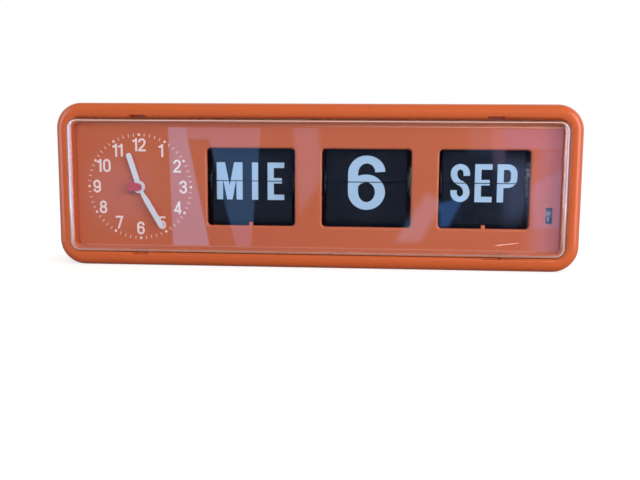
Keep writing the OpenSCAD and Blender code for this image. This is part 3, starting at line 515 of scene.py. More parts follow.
def piece(name, points, faces, body, material, smooth=True):
    """A mesh piece from points in metres and a list of faces, riding on a body of the model."""
    mesh = bpy.data.meshes.new(name)
    mesh.from_pydata(np.asarray(points, float).tolist(), [], [list(map(int, f)) for f in faces])
    mesh.validate()
    mesh.polygons.foreach_set("use_smooth", np.full(len(mesh.polygons), smooth))
    if smooth:
        mesh.set_sharp_from_angle(angle=SHARP_ANGLE)
    mesh.materials.append(material)
    thing = bpy.data.objects.new(name, mesh)
    scene.collection.objects.link(thing)
    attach(thing, body)
    return thing


def face_out(thing):
    """Turns all faces of a closed piece outwards."""
    bm = bmesh.new()
    bm.from_mesh(thing.data)
    bmesh.ops.recalc_face_normals(bm, faces=bm.faces)
    bm.to_mesh(thing.data)
    bm.free()


CASE_W, CASE_H, RIM_W, CORNER_R, FIT, EDGE_R, WALL = 408.0, 128.0, 11.5, 20.0, 0.3, 7.0, 2.0
cover_low, cover_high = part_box("clear_cover")
cover_front, cover_back = cover_low.y / MM, cover_high.y / MM
corner_u = CORNER_R - RIM_W - FIT
cover_section = np.concatenate(
    [
        arc(corner_u - EDGE_R, cover_front + EDGE_R, EDGE_R - WALL, 90, 0, 12),
        [[corner_u - WALL, cover_back], [corner_u, cover_back]],
        arc(corner_u - EDGE_R, cover_front + EDGE_R, EDGE_R, 0, 90, 16),
    ]
)
centre, outward = rounded_loop(CASE_W - 2 * CORNER_R, CASE_H - 2 * CORNER_R, 10)
ring = centre[None] + cover_section[:, None, :1] * outward[None]
depth_y = np.broadcast_to(cover_section[:, None, 1], ring.shape[:2])
cover_points = np.stack([ring[..., 0], depth_y, ring[..., 1] + CASE_H / 2], axis=-1) * MM
rows, columns = ring.shape[:2]
i, j = np.meshgrid(np.arange(rows - 1), np.arange(columns), indexing="ij")
after = (j + 1) % columns
quads = np.stack(
    [i * columns + j, i * columns + after, (i + 1) * columns + after, (i + 1) * columns + j], axis=-1
)
caps = [list(range(columns)), list(range((rows - 1) * columns, rows * columns))]
cover = piece(
    "cover_shell",
    cover_points.reshape(-1, 3),
    quads.reshape(-1, 4).tolist() + caps,
    "root",
    acrylic,
)
face_out(cover)
cover.modifiers.new("even", "WEIGHTED_NORMAL").keep_sharp = True
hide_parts("clear_cover")
print("cover", len(cover.data.polygons), "faces")

# %% [markdown]
# ## Letters and figures from strokes
#
# Print on a clock is drawn with a broad pen: an even stroke, wider across than along. Each
# letter is therefore a few strokes. A straight stroke is a slanted box with level ends. A bent
# stroke follows a line whose corners are rounded, and is spread to both sides of it. Everything
# is worked out flat, in millimetres, from the letter's lower left corner.

# %% Strokes
ROUND = 0.5523  # handles this long, as a part of the reach, make a cubic follow a quarter circle
BEND_STEPS = 9
WIDE = {"M": 1.4, "I": 0.34, "1": 0.62, "E": 0.9, "F": 0.88, "L": 0.86, "P": 1.04}
FACE_LIFT, STROKE_LIFT = 0.0003, 0.004


def straight(x0, z0, x1, z1, width):
    """A stroke from (x0, z0) to (x1, z1) whose ends are cut level; width is measured level."""
    h = width / 2
    return np.array([[[x0 - h, z0], [x0 + h, z0], [x1 + h, z1], [x1 - h, z1]]])


def level(x0, x1, z, height):
    """A level stroke from x0 to x1."""
    h = height / 2
    return np.array([[[x0, z - h], [x1, z - h], [x1, z + h], [x0, z + h]]])


def bent(points, rx, rz, pen_x, pen_z):
    """A stroke along a line with rounded corners.

    Each corner p becomes a cubic curve from p - L a to p + L b, where a and b are the directions
    of its two sides and L is rx on a level side and rz on an upright one. The stroke's edge lies
    at the normal times half the pen, pen_x across and pen_z along."""
    points = np.asarray(points, float)
    path = [points[:1]]
    for before, p, following in zip(points[:-2], points[1:-1], points[2:]):
        ends = []
        for q in (before, following):
            side = q - p
            length = np.hypot(*side)
            reach = rx if abs(side[0]) > abs(side[1]) else rz
            ends.append(p + side / length * min(reach, length))
        t = np.linspace(0, 1, BEND_STEPS + 1)[:, None]
        a, b = ends
        c, d = a + (p - a) * ROUND, b + (p - b) * ROUND
        path.append((1 - t) ** 3 * a + 3 * (1 - t) ** 2 * t * c + 3 * (1 - t) * t**2 * d + t**3 * b)
    path.append(points[-1:])
    path = np.concatenate(path)
    path = path[np.concatenate([[True], np.hypot(*np.diff(path, axis=0).T) > 1e-6])]
    way = np.gradient(path, axis=0)
    way[0], way[-1] = path[1] - path[0], path[-1] - path[-2]
    way /= np.hypot(*way.T)[:, None]
    side = np.stack([-way[:, 1], way[:, 0]], axis=1) * np.array([pen_x, pen_z]) / 2
    left, right = path + side, path - side
    return np.stack([right[:-1], right[1:], left[1:], left[:-1]], axis=1)


def glyph(ch, w, h, sx, sz):
    """The strokes of a letter or figure in a box w wide and h high; sx and sz are the pen."""
    x0, x1, z0, z1 = sx / 2, w - sx / 2, sz / 2, h - sz / 2
    mid, waist = w / 2, h * 0.53
    in0, in1 = w - x1 * 0.97, x1 * 0.97
    rx, rz = (x1 - x0) / 2, (x1 - x0) / 2 * 1.05
    post = straight(x0, 0, x0, h, sx)
    far_post = straight(x1, 0, x1, h, sx)

    def bend(*points, k=1.0):
        return bent(points, rx * k, rz * k, sx, sz)

    def ring():
        return [bend((mid, z1), (x1, z1), (x1, z0), (x0, z0), (x0, z1), (mid, z1))]

    def six():
        return [
            bend(
                (x1, h * 0.70),
                (x1, z1),
                (x0, z1),
                (x0, z0),
                (x1, z0),
                (x1, h * 0.58),
                (x0, h * 0.58),
                (x0, h * 0.4),
            )
        ]

    shapes = {
        "A": lambda: [
            straight(x0 * 0.9, 0, mid - sx * 0.12, h, sx),
            straight(w - x0 * 0.9, 0, mid + sx * 0.12, h, sx),
            level(w * 0.22, w * 0.78, h * 0.26, sz),
        ],
        "B": lambda: [
            post,
            bend((x0, z1), (x1 * 0.96, z1), (x1 * 0.96, waist), (x0, waist), k=0.8),
            bend((x0, waist), (x1, waist), (x1, z0), (x0, z0), k=0.9),
        ],
        "C": lambda: [bend((x1, h * 0.66), (x1, z1), (x0, z1), (x0, z0), (x1, z0), (x1, h * 0.34))],
        "D": lambda: [post, bend((x0, z1), (x1, z1), (x1, z0), (x0, z0))],
        "E": lambda: [post, level(0, w, z1, sz), level(0, w * 0.86, h * 0.515, sz), level(0, w, z0, sz)],
        "F": lambda: [post, level(0, w, z1, sz), level(0, w * 0.86, h * 0.515, sz)],
        "G": lambda: [
            bend((x1, h * 0.68), (x1, z1), (x0, z1), (x0, z0), (x1, z0), (x1, h * 0.5)),
            level(mid, w, h * 0.46, sz),
        ],
        "I": lambda: [straight(w / 2, 0, w / 2, h, sx)],
        "J": lambda: [bend((x0, h * 0.32), (x0, z0), (x1, z0), (x1, h))],
        "L": lambda: [post, level(0, w, z0, sz)],
        "M": lambda: [
            post,
            far_post,
            straight(w * 0.22, h, mid, 0, w * 0.21),
            straight(w * 0.78, h, mid, 0, w * 0.21),
        ],
        "N": lambda: [post, far_post, straight(x0, h, x1, 0, sx * 1.05)],
        "O": ring,
        "P": lambda: [post, bend((x0, z1), (x1, z1), (x1, h * 0.455), (x0, h * 0.455), k=0.95)],
        "R": lambda: [
            post,
            bend((x0, z1), (x1, z1), (x1, h * 0.475), (x0, h * 0.475), k=0.95),
            straight(w * 0.45, h * 0.47, x1, 0, sx),
        ],
        "S": lambda: [
            bend(
                (x1, h * 0.69),
                (x1, z1),
                (x0, z1),
                (x0, h * 0.57),
                (x1, h * 0.43),
                (x1, z0),
                (x0, z0),
                (x0, h * 0.31),
            )
        ],
        "T": lambda: [level(0, w, z1, sz), straight(mid, 0, mid, h, sx)],
        "U": lambda: [bend((x0, h), (x0, z0), (x1, z0), (x1, h))],
        "V": lambda: [
            straight(x0 * 0.9, h, mid - sx * 0.1, 0, sx),
            straight(w - x0 * 0.9, h, mid + sx * 0.1, 0, sx),
        ],
        "Y": lambda: [
            straight(x0 * 0.9, h, mid, h * 0.38, sx),
            straight(w - x0 * 0.9, h, mid, h * 0.38, sx),
            straight(mid, 0, mid, h * 0.42, sx),
        ],
        "0": ring,
        "1": lambda: [far_post, bend((x1, z1 - sz * 0.15), (w * 0.5, h * 0.80), (0, h * 0.78), k=0.6)],
        "2": lambda: [
            bend((x0, h * 0.68), (x0, z1), (x1, z1), (x1, h * 0.52), (x0, h * 0.17), (x0, 0)),
            level(0, w, z0, sz),
        ],
        "3": lambda: [
            bend((x0, h * 0.70), (x0, z1), (x1 * 0.98, z1), (x1 * 0.98, waist), (w * 0.36, waist), k=0.95),
            bend((w * 0.36, waist), (x1, waist), (x1, z0), (x0, z0), (x0, h * 0.30), k=0.95),
        ],
        "4": lambda: [
            straight(w * 0.72, 0, w * 0.72, h, sx),
            level(0, w, h * 0.26, sz),
            straight(sx * 0.55, h * 0.26, w * 0.70, h, sx * 0.95),
        ],
        "5": lambda: [
            level(sx * 0.3, w * 0.94, z1, sz),
            straight(sx * 0.62, h * 0.46, sx * 0.85, h, sx * 0.95),
            bend(
                (x0, h * 0.50), (x0 + sx * 0.3, h * 0.60), (x1, h * 0.60), (x1, z0), (x0, z0), (x0, h * 0.27)
            ),
        ],
        "6": six,
        "7": lambda: [level(0, w, z1, sz), straight(w * 0.36, 0, w - sx * 0.5, h - sz * 0.5, sx)],
        "8": lambda: [
            bend((mid, z1), (in1, z1), (in1, waist), (in0, waist), (in0, z1), (mid, z1), k=0.95),
            bend((mid, waist), (x1, waist), (x1, z0), (x0, z0), (x0, waist), (mid, waist), k=0.95),
        ],
        "9": lambda: [np.array([w, h]) - s for s in six()],
    }
    return shapes[ch]()


def word(text, height, pen, letter_w, span=None, gap=None):
    """Small faces of a word as (n, 4, 3): X, lift and Z of each corner, centred on the word's middle.

    The letters' widths come first, then an even gap; with a span, the gap is what is left of it.
    Two faces in one plane would shade each other where a stroke crosses itself or the next, so
    each face is lifted 0.3 micron more than the last, and each stroke 4 microns more."""
    widths = [WIDE.get(ch, 1.0) * letter_w for ch in text]
    if span:
        gap = (span - sum(widths)) / (len(text) - 1)
    faces, x = [], 0.0
    for ch, w in zip(text, widths):
        lift = 0.0
        for flat in glyph(ch, w, height, *pen):
            rise = lift + FACE_LIFT * np.arange(len(flat))
            lift = rise[-1] + STROKE_LIFT
            rise = np.broadcast_to(rise[:, None], flat.shape[:2])
            faces.append(np.stack([flat[..., 0] + x, rise, flat[..., 1]], axis=-1))
        x += w + gap
    return np.concatenate(faces) - np.array([(x - gap) / 2, 0, height / 2])


print("a six has", len(word("6", 43, (8, 6), 30, gap=0)), "small faces")

# %% [markdown]
# ## The dial
#
# The dial is printed straight on the orange panel: twelve figures, sixty ticks and a dot at
# every hour. Ink stands a few hundredths of a millimetre proud, and so does this print.

# %% Dial print
INK_T = 0.02
FIGURE_H, FIGURE_W, FIGURE_PEN, FIGURE_GAP = 10.3, 6.1, (1.6, 1.55), 0.8
FIGURES_X, FIGURES_Z = 35.0, 33.2  # the figures stand on an oval, so that they keep off the ticks
TEN_GAP, TEN_SHIFT = 1.3, 1.2
TICK_HALF_W, TICK_IN, TICK_OUT = 0.24, 39.8, 42.3
DOT_R, DOT_AT = 1.05, 41.2
panel_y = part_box("front_panel")[0].y / MM
dial_x, dial_z = (joints["minute_hand"]["pos_m"][k] / MM for k in (0, 2))


def coat_with_ink(thing):
    """Gives flat print the thickness of a coat of ink."""
    coat = thing.modifiers.new("coat", "SOLIDIFY")
    coat.thickness, coat.offset = INK_T * MM, -1


def printed(name, faces, y, body, material):
    """Flat faces given as X, lift and Z, laid on the plane y as a coat of ink."""
    points = faces.copy()
    points[..., 1] = y - faces[..., 1]
    count = faces.shape[1]
    points = points.reshape(-1, 3) * MM
    faces = np.arange(len(points)).reshape(-1, count)
    coat_with_ink(piece(name, points, faces, body, material, smooth=False))


def flat_faces(faces_xz):
    """Faces given in X and Z, with no lift."""
    return np.stack([faces_xz[..., 0], np.zeros(faces_xz.shape[:2]), faces_xz[..., 1]], axis=-1)


hours = np.arange(1, 13)
turn = np.radians(90 - hours * 30)
figures = []
for hour, a in zip(hours, turn):
    gap, inward = (TEN_GAP, TEN_SHIFT) if hour == 10 else (FIGURE_GAP, 0.0)
    text = word(str(hour), FIGURE_H, FIGURE_PEN, FIGURE_W, gap=gap)
    figures.append(text + np.array([FIGURES_X * cos(a) + inward, 0, FIGURES_Z * sin(a)]))
figures = np.concatenate(figures)

minutes = np.radians(90 - np.arange(60) * 6)
along = np.stack([np.cos(minutes), np.sin(minutes)], axis=1)
across = np.stack([-np.sin(minutes), np.cos(minutes)], axis=1) * TICK_HALF_W
foot, tip = along * TICK_IN, along * TICK_OUT
ticks = np.stack([foot - across, tip - across, tip + across, foot + across], axis=1)
ticks = ticks[np.arange(60) % 5 != 0]

around = np.radians(np.arange(0, 360, 30))
dots = along[::5][:, None] * DOT_AT + DOT_R * np.stack([np.cos(around), np.sin(around)], axis=1)[None]
centre_of_dial = np.array([dial_x, 0, dial_z])
for name, faces in (
    ("dial_figures", figures),
    ("dial_ticks", flat_faces(ticks)),
    ("dial_dots", flat_faces(dots)),
):
    printed(name, faces + centre_of_dial, panel_y - INK_T, "root", dial_ink)
print(len(figures), "figure faces,", len(ticks), "ticks and", len(dots), "dots")

# %% [markdown]
# ## Print on the leaves
#
# A split leaf carries the upper half of one word on its face and the lower half of the next
# word on its back. When it has fallen, its back completes the face of the leaf behind. Every
# leaf on the three drums is printed, so that the words are right at every step. A word is cut
# at the level of the hinge line, and each half is carried to its leaf: along it by its height,
# tipped with it, and set on the circle of pins.

# %% Print on all leaves
PIN_R, LEAF_T, EDGE_GAP = 13.0, 0.25, 0.35
WORD_H, WORD_W, WORD_PEN, WORD_SPAN, WORD_SPAN_WITH_I = 29.8, 14.9, (5.0, 4.3), 51.6, 54.4
DATE_H, DATE_W, DATE_PAIR_W, DATE_PEN, DATE_GAP = 43.0, 29.4, 26.5, (8.0, 6.2), 3.5


def half_word(strokes, upper):
    """The part of a word above or below the hinge line, cut at the leaf's edge, as points and faces."""
    mesh = bpy.data.meshes.new("cut")
    points = strokes.reshape(-1, 3)
    mesh.from_pydata(points.tolist(), [], np.arange(len(points)).reshape(-1, 4).tolist())
    bm = bmesh.new()
    bm.from_mesh(mesh)
    edge = EDGE_GAP if upper else -EDGE_GAP
    everything = bm.verts[:] + bm.edges[:] + bm.faces[:]
    bmesh.ops.bisect_plane(
        bm,
        geom=everything,
        plane_co=(0, 0, edge),
        plane_no=(0, 0, 1),
        clear_inner=upper,
        clear_outer=not upper,
    )
    bm.to_mesh(mesh)
    bm.free()
    co = np.zeros(len(mesh.vertices) * 3)
    mesh.vertices.foreach_get("co", co)
    faces = [list(p.vertices) for p in mesh.polygons]
    bpy.data.meshes.remove(mesh)
    return co.reshape(-1, 3), faces


def leaf_print(name, values, shape, middle):
    """Prints a drum's leaves. Leaf i has the top of value i in front and the foot of value i + 1 behind.

    shape draws a value, and middle is where its centre lies, seen from the drum's hinge line."""
    n = len(values)
    x_m, y_m, z_m = (v / MM for v in joints[name + "_drum"]["pos_m"])
    step = 360 / n
    rise = PIN_R * sin(pi / n)
    halves = {v: [half_word(shape(v) + middle, up) for up in (True, False)] for v in set(values)}
    made = {"flip": ([], []), "pack": ([], [])}
    for i in range(n):
        angle = (i + 0.5) * step
        tilt = radians(angle - step / 2 if angle <= 180 else 180)
        a = radians(angle)
        for side, value in enumerate([values[i], values[(i + 1) % n]]):
            flat, faces = halves[value][side]
            along_leaf = np.abs(flat[:, 2]) - rise
            y = (LEAF_T / 2 + INK_T + flat[:, 1]) * (-1 if side == 0 else 1)
            points = np.stack(
                [
                    x_m + flat[:, 0],
                    y_m - PIN_R * cos(a) + y * cos(tilt) + along_leaf * sin(tilt),
                    z_m + PIN_R * sin(a) - y * sin(tilt) + along_leaf * cos(tilt),
                ],
                axis=1,
            )
            all_points, all_faces = made["flip" if i == 0 else "pack"]
            first = sum(map(len, all_points))
            all_points.append(points)
            all_faces += [[v + first for v in f] for f in faces]
    for part, body in (("flip", name + "_flip_leaf"), ("pack", name + "_drum")):
        points = np.concatenate(made[part][0]) * MM
        faces = made[part][1]
        thing = piece(f"{name}_{part}_print", points, faces, body, leaf_ink, smooth=False)
        coat_with_ink(thing)
        print(thing.name, len(faces), "faces")


def day_or_month(text):
    """A three-letter word; one with a narrow I is spread a little wider."""
    return word(text, WORD_H, WORD_PEN, WORD_W, span=WORD_SPAN_WITH_I if "I" in text else WORD_SPAN)


def date(text):
    """One figure, or two narrower ones."""
    return word(text, DATE_H, DATE_PEN, DATE_W if len(text) == 1 else DATE_PAIR_W, gap=DATE_GAP)


# The words that follow each other on the drums, starting with the ones in the photograph
weekdays = ["MIE", "JUE", "VIE", "SAB", "DOM", "LUN", "MAR"] * 3
months = ["SEP", "OCT", "NOV", "DIC", "ENE", "FEB", "MAR", "ABR", "MAY", "JUN", "JUL", "AGO"] * 2
dates = [str((5 + k) % 31 + 1) for k in range(31)]
leaf_print("weekday", weekdays, day_or_month, np.array([-1.5, 0, -0.1]))
leaf_print("date", dates, date, np.array([0.0, 0, -0.5]))
leaf_print("month", months, day_or_month, np.array([0.5, 0, 0.1]))

# %% [markdown]
# ## The year wheel
#
# Beside the month a slim window shows the rim of a small wheel with four numbered places.
# Its print is bent round the rim: the height of each point becomes an angle on the wheel.

# %% Print on the year wheel
DISC_R, DISC_LIFT, FIGURE_LIFT, PRINT_Z = 2.5, 0.03, 0.06, -3.0
YEAR_H, YEAR_W, YEAR_PEN = 3.6, 2.5, (0.7, 0.65)
year_low, year_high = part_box("year_wheel")
year_x, year_y, year_z = ((low + high) / 2 / MM for low, high in zip(year_low, year_high))
year_r = (year_high.z - year_low.z) / 2 / MM


def round_the_rim(flat, lift):
    """Carries flat points (x, height) onto the wheel's rim; the angle is the height over the radius."""
    angle = flat[..., 1] / year_r
    r = year_r + lift
    return np.stack([year_x + flat[..., 0], year_y - r * np.cos(angle), year_z + r * np.sin(angle)], axis=-1)


def finer(quads, n):
    """Cuts each four-cornered face into n by n, so that it can follow the rim."""
    t = np.arange(n + 1) / n
    u, v = t[None, :, None], t[:, None, None]
    a, b, c, d = (quads[:, None, None, k] for k in range(4))
    grid = (1 - v) * ((1 - u) * a + u * b) + v * ((1 - u) * d + u * c)
    corners = [grid[:, :-1, :-1], grid[:, :-1, 1:], grid[:, 1:, 1:], grid[:, 1:, :-1]]
    return np.stack(corners, axis=3).reshape(-1, 4, quads.shape[-1])


rung = DISC_R * np.sin(np.linspace(-pi / 2, pi / 2, 17))
reach = np.sqrt(np.maximum(DISC_R**2 - rung**2, 1e-4))
disc = np.stack(
    [
        np.stack([-reach[:-1], rung[:-1]], axis=1),
        np.stack([reach[:-1], rung[:-1]], axis=1),
        np.stack([reach[1:], rung[1:]], axis=1),
        np.stack([-reach[1:], rung[1:]], axis=1),
    ],
    axis=1,
)
quarter = year_r * pi / 2
places = [(PRINT_Z + k * quarter, str((k + 2) % 4 + 1)) for k in range(4)]
discs, year_figures = [], []
for height, text in places:
    up = np.array([0, height])
    discs.append(round_the_rim(disc + up, DISC_LIFT))
    strokes = finer(word(text, YEAR_H, YEAR_PEN, YEAR_W, gap=0), 4)
    year_figures.append(round_the_rim(strokes[..., [0, 2]] + up, FIGURE_LIFT + strokes[..., 1]))
for name, quads, material, slot in (
    ("year_discs", discs, year_ink, "black_plastic"),
    ("year_figures", year_figures, dial_ink, "white_lacquer"),
):
    quads = np.concatenate(quads)
    faces = np.arange(quads.shape[0] * 4).reshape(-1, 4)
    piece(name, quads.reshape(-1, 3) * MM, faces, "year_wheel", material, smooth=False)
print("year wheel radius", round(year_r, 2), "mm")

# %% [markdown]
# ## Floor, light and what the cover mirrors
#
# The clock stands on a pale floor that fades to white. Large lamps give soft light from above
# in front, from both sides and from behind. Clear plastic shows the room in front of it, so a
# plain room stands round the lamps that only mirrors and glass can see. It is dim and bluish,
# with patches of daylight on its front wall. Without it the black leaves would look grey.

# %% Floor
FLOOR_AT, FLOOR_SIZE, FLOOR_CORNERS = (0.0, 0.16, 0.0), (0.75, 0.32, 1.0), 96
FLOOR_PAINT, FLOOR_LIFT, FADE_FROM, FADE_TO = 0.5, 0.7, 0.6, 0.97
SEEN = ("Is Camera Ray", "Is Glossy Ray", "Is Transmission Ray")


def floor_material():
    """A painted floor that keeps the clock's shadow and fades to plain white at its oval edge."""
    material, tree, place, surface = new_material("floor_white_painted")
    oval = add(
        tree,
        "ShaderNodeMapping",
        {"vector_type": "TEXTURE", "Location": FLOOR_AT, "Scale": FLOOR_SIZE},
        {"Vector": place},
    )
    away = add(tree, "ShaderNodeVectorMath", {"operation": "LENGTH"}, {0: oval.outputs[0]})
    far = add(
        tree,
        "ShaderNodeMapRange",
        {"From Min": FADE_FROM, "From Max": FADE_TO, "interpolation_type": "SMOOTHSTEP"},
        {"Value": away.outputs["Value"]},
    )
    paint = add(tree, "ShaderNodeBsdfDiffuse", {"Color": (FLOOR_PAINT, FLOOR_PAINT, FLOOR_PAINT, 1.0)})
    to_camera = on_rays(tree, "Is Camera Ray")
    lift = add(tree, "ShaderNodeMath", {"operation": "MULTIPLY", 1: FLOOR_LIFT}, {0: to_camera})
    glow = add(tree, "ShaderNodeEmission", {}, {"Strength": lift.outputs[0]})
    near = add(tree, "ShaderNodeAddShader", {}, {0: paint.outputs[0], 1: glow.outputs[0]})
    white = add(tree, "ShaderNodeEmission", {"Color": (1.0, 1.0, 1.0, 1.0), "Strength": 1.0})
    seen = on_rays(tree, *SEEN)
    shown = add(tree, "ShaderNodeMath", {"operation": "MULTIPLY"}, {0: far.outputs["Result"], 1: seen})
    mix = add(tree, "ShaderNodeMixShader", {}, {0: shown.outputs[0], 1: near.outputs[0], 2: white.outputs[0]})
    tree.links.new(mix.outputs[0], surface)
    return material


around = np.linspace(0, 2 * pi, FLOOR_CORNERS, endpoint=False)
edge_x, edge_y = FLOOR_SIZE[0] * np.cos(around), FLOOR_AT[1] + FLOOR_SIZE[1] * np.sin(around)
floor = bpy.data.objects.new("floor", bpy.data.meshes.new("floor"))
floor.data.from_pydata(
    np.stack([edge_x, edge_y, 0 * around], axis=1).tolist(), [], [list(range(FLOOR_CORNERS))]
)
floor.data.materials.append(floor_material())
scene.collection.objects.link(floor)
print("floor", 2 * FLOOR_SIZE[0], "by", 2 * FLOOR_SIZE[1], "m")

# %% World
WORLD_LIGHT = 0.45


def studio_world():
    """White to the camera, in mirrors and through glass, and a dimmer even light on all else."""
    world = bpy.data.worlds.new("studio")
    scene.world = world
    world.use_nodes = True
    tree = world.node_tree
    tree.nodes.clear()
    levels = {"To Min": WORLD_LIGHT, "To Max": 1.0}
    strength = add(tree, "ShaderNodeMapRange", levels, {"Value": on_rays(tree, *SEEN)}).outputs["Result"]
    background = add(tree, "ShaderNodeBackground", {"Color": (1.0, 1.0, 1.0, 1.0)}, {"Strength": strength})
    output = add(tree, "ShaderNodeOutputWorld")
    tree.links.new(background.outputs[0], output.inputs["Surface"])


studio_world()
print("world at a level of", WORLD_LIGHT)

# %% Lamps
CLOCK_AT = (0, 0, 0.06)


def soft_lamp(name, place, width, height, watts, colour, mirrored=True):
    """A rectangular lamp turned to the clock; one that isn't mirrored leaves no highlight."""
    data = bpy.data.lights.new(name, "AREA")
    data.shape, data.size, data.size_y = "RECTANGLE", width, height
    data.energy, data.color = watts, rgb(colour)[:3]
    lamp = bpy.data.objects.new(name, data)
    look = np.array(CLOCK_AT, float) - np.array(place, float)
    look /= np.linalg.norm(look)
    side = np.cross(look, [0, 0, 1])
    side /= np.linalg.norm(side)
    turned = np.eye(4)
    turned[:3, 0], turned[:3, 1], turned[:3, 2], turned[:3, 3] = side, np.cross(side, look), -look, place
    lamp.matrix_world = Matrix(turned.tolist())
    lamp.visible_glossy = mirrored
    scene.collection.objects.link(lamp)
    print(name, watts, "W")


soft_lamp("key_lamp", (0.6, -1.35, 0.8), 2.0, 0.6, 15.2, "#fffaf4", mirrored=False)
soft_lamp("left_lamp", (-1.3, -0.9, 0.3), 0.25, 1.0, 0.6, "#dcdcff")
soft_lamp("right_lamp", (1.3, -0.8, 0.4), 0.4, 1.0, 7, "#fff4f0")
soft_lamp("back_lamp", (0.3, 1.4, 0.8), 1.6, 0.6, 10, "#ffffff", mirrored=False)

# %% The room that mirrors show
ROOM_X, ROOM_FRONT, ROOM_BACK, ROOM_LOW, ROOM_TOP, ARCH_R = 1.9, -1.6, 0.9, -0.6, 1.7, 0.5
WALL_EDGE, NEAR_EDGE, CEILING_EDGE = (1.85, 0.05), (0.5, 0.3), (1.3, 0.3)  # a place and its softness


def room_material():
    """A dim room with a warmer ceiling, lit side walls and patches of daylight on its front wall.

    The side walls are brighter towards the front. A patch has four corners. A point lies in it
    where it is inside all four edges, and each edge is a soft step of the point's distance from
    it. All colours are added up."""
    material, tree, place, surface = new_material("room_dim_daylight")

    def step(way, edge, soft):
        """Goes softly from 0 to 1 where the distance along a direction passes an edge."""
        along = add(tree, "ShaderNodeVectorMath", {"operation": "DOT_PRODUCT", 1: way}, {0: place})
        settings = {"From Min": edge - soft, "From Max": edge + soft, "interpolation_type": "SMOOTHSTEP"}
        return add(tree, "ShaderNodeMapRange", settings, {"Value": along.outputs["Value"]}).outputs["Result"]

    def times(first, second):
        return add(tree, "ShaderNodeMath", {"operation": "MULTIPLY"}, {0: first, 1: second}).outputs[0]

    def plus(light, mask, colour):
        """Adds a colour where a mask is 1."""
        settings = {"operation": "MULTIPLY_ADD", 1: colour}
        return add(tree, "ShaderNodeVectorMath", settings, {0: mask, 2: light}).outputs["Vector"]

    light = add(tree, "ShaderNodeCombineXYZ", {"X": 0.012, "Y": 0.02, "Z": 0.04}).outputs["Vector"]
    light = plus(light, step((0, 0, 1), *CEILING_EDGE), (0.42, 0.32, 0.26))
    for side, far_colour, near_colour in (
        (-1, (0.55, 0.55, 0.9), (2.0, 3.0, 3.8)),
        (1, (0.4, 0.5, 0.85), (2.6, 2.5, 2.6)),
    ):
        wall = step((side, 0, 0), *WALL_EDGE)
        light = plus(light, wall, far_colour)
        light = plus(light, times(wall, step((0, -1, 0), *NEAR_EDGE)), near_colour)
    for corners, soft, colour in PATCHES:
        corners = np.array(corners)
        middle = corners.mean(axis=0)
        mask = None
        for here, there in zip(corners, np.roll(corners, -1, axis=0)):
            way = np.array([here[1] - there[1], there[0] - here[0]])
            way /= np.linalg.norm(way)
            if way @ (middle - here) < 0:
                way = -way
            inside = step((way[0], 0, way[1]), way @ here, soft)
            mask = inside if mask is None else times(mask, inside)
        light = plus(light, mask, colour)
    glow = add(tree, "ShaderNodeEmission", {"Strength": 1.0}, {"Color": light})
    tree.links.new(glow.outputs[0], surface)
    return material


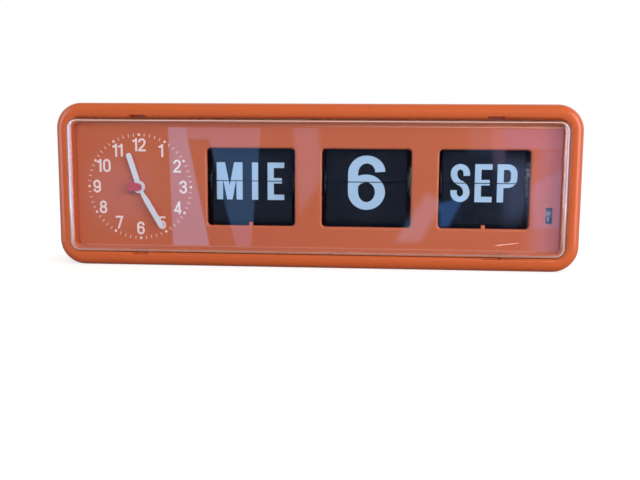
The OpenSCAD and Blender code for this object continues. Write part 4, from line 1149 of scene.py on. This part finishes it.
# Each patch: corners as X and Z in metres, softness of its edge in metres, linear colour
PATCHES = (
    (((-0.5155, 0.2), (-0.486, 0.2), (-0.406, -0.213), (-0.505, -0.213)), 0.004, (0.3, 1.25, 2.3)),
    (((-0.486, 0.2), (-0.436, 0.2), (-0.405, 0.073), (-0.4615, 0.073)), 0.004, (0.15, 0.55, 1.1)),
    (((-0.436, 0.2), (-0.259, 0.2), (-0.296, -0.213), (-0.335, -0.213)), 0.004, (0.25, 0.55, 1.15)),
    (((-0.190, 0.2), (-0.122, 0.2), (-0.110, -0.03), (-0.165, -0.12)), 0.012, (0.25, 0.5, 0.95)),
    (((0.085, -0.19), (0.150, -0.19), (0.205, -0.09), (0.165, -0.06)), 0.012, (0.25, 0.8, 1.4)),
    (((0.270, 0.2), (0.361, 0.2), (0.361, 0.04), (0.270, 0.04)), 0.01, (0.1, 0.2, 0.4)),
    (((0.318, 0.2), (0.359, 0.2), (0.362, 0.017), (0.335, -0.001)), 0.008, (0.5, 0.27, 0.5)),
    (((0.361, 0.2), (0.60, 0.2), (0.60, 0.054), (0.361, 0.054)), 0.006, (0.1, 0.5, 1.5)),
    (((0.436, -0.04), (0.60, 0.06), (0.60, -0.15), (0.436, -0.15)), 0.012, (0.1, 0.8, 2.0)),
    (((0.45, 0.054), (0.585, 0.054), (0.58, 0.048), (0.45, -0.031)), 0.02, (0.05, 0.4, 1.3)),
    (((0.436, -0.15), (0.60, -0.15), (0.60, -0.30), (0.436, -0.30)), 0.03, (0.1, 0.5, 1.3)),
    (((0.345, 0.02), (0.435, 0.02), (0.435, -0.10), (0.375, -0.14)), 0.03, (0.4, 0.5, 0.95)),
    (((0.198, -0.09), (0.262, -0.07), (0.222, -0.15), (0.198, -0.15)), 0.006, (0.18, 0.6, 1.75)),
    (((-0.72, 0.01), (-0.57, 0.01), (-0.57, -0.14), (-0.72, -0.14)), 0.05, (0.1, 0.3, 0.6)),
    (((0.346, -0.1955), (0.404, -0.1885), (0.404, -0.1905), (0.346, -0.1975)), 0.001, (6.0, 5.0, 5.0)),
)
arch = np.radians(np.linspace(180, 90, 13))
arch_y, arch_z = ROOM_FRONT + ARCH_R + ARCH_R * np.cos(arch), ROOM_TOP - ARCH_R + ARCH_R * np.sin(arch)
section = [(ROOM_FRONT, ROOM_LOW), *zip(arch_y, arch_z), (ROOM_BACK, ROOM_TOP)]
side_wall = [(ROOM_FRONT, ROOM_LOW), (ROOM_BACK, ROOM_LOW), (ROOM_BACK, ROOM_TOP), (ROOM_FRONT, ROOM_TOP)]
room_points = [(x, y, z) for outline in (section, side_wall) for x in (-ROOM_X, ROOM_X) for y, z in outline]
n = len(section)
room_faces = [[k, k + 1, k + 1 + n, k + n] for k in range(n - 1)]
room_faces += [list(range(first, first + 4)) for first in (2 * n, 2 * n + 4)]
room = bpy.data.objects.new("room", bpy.data.meshes.new("room"))
room.data.from_pydata(np.array(room_points).tolist(), [], room_faces)
room.data.materials.append(room_material())
scene.collection.objects.link(room)
room.visible_camera = room.visible_diffuse = room.visible_shadow = False
print("room with", len(PATCHES), "patches of daylight")
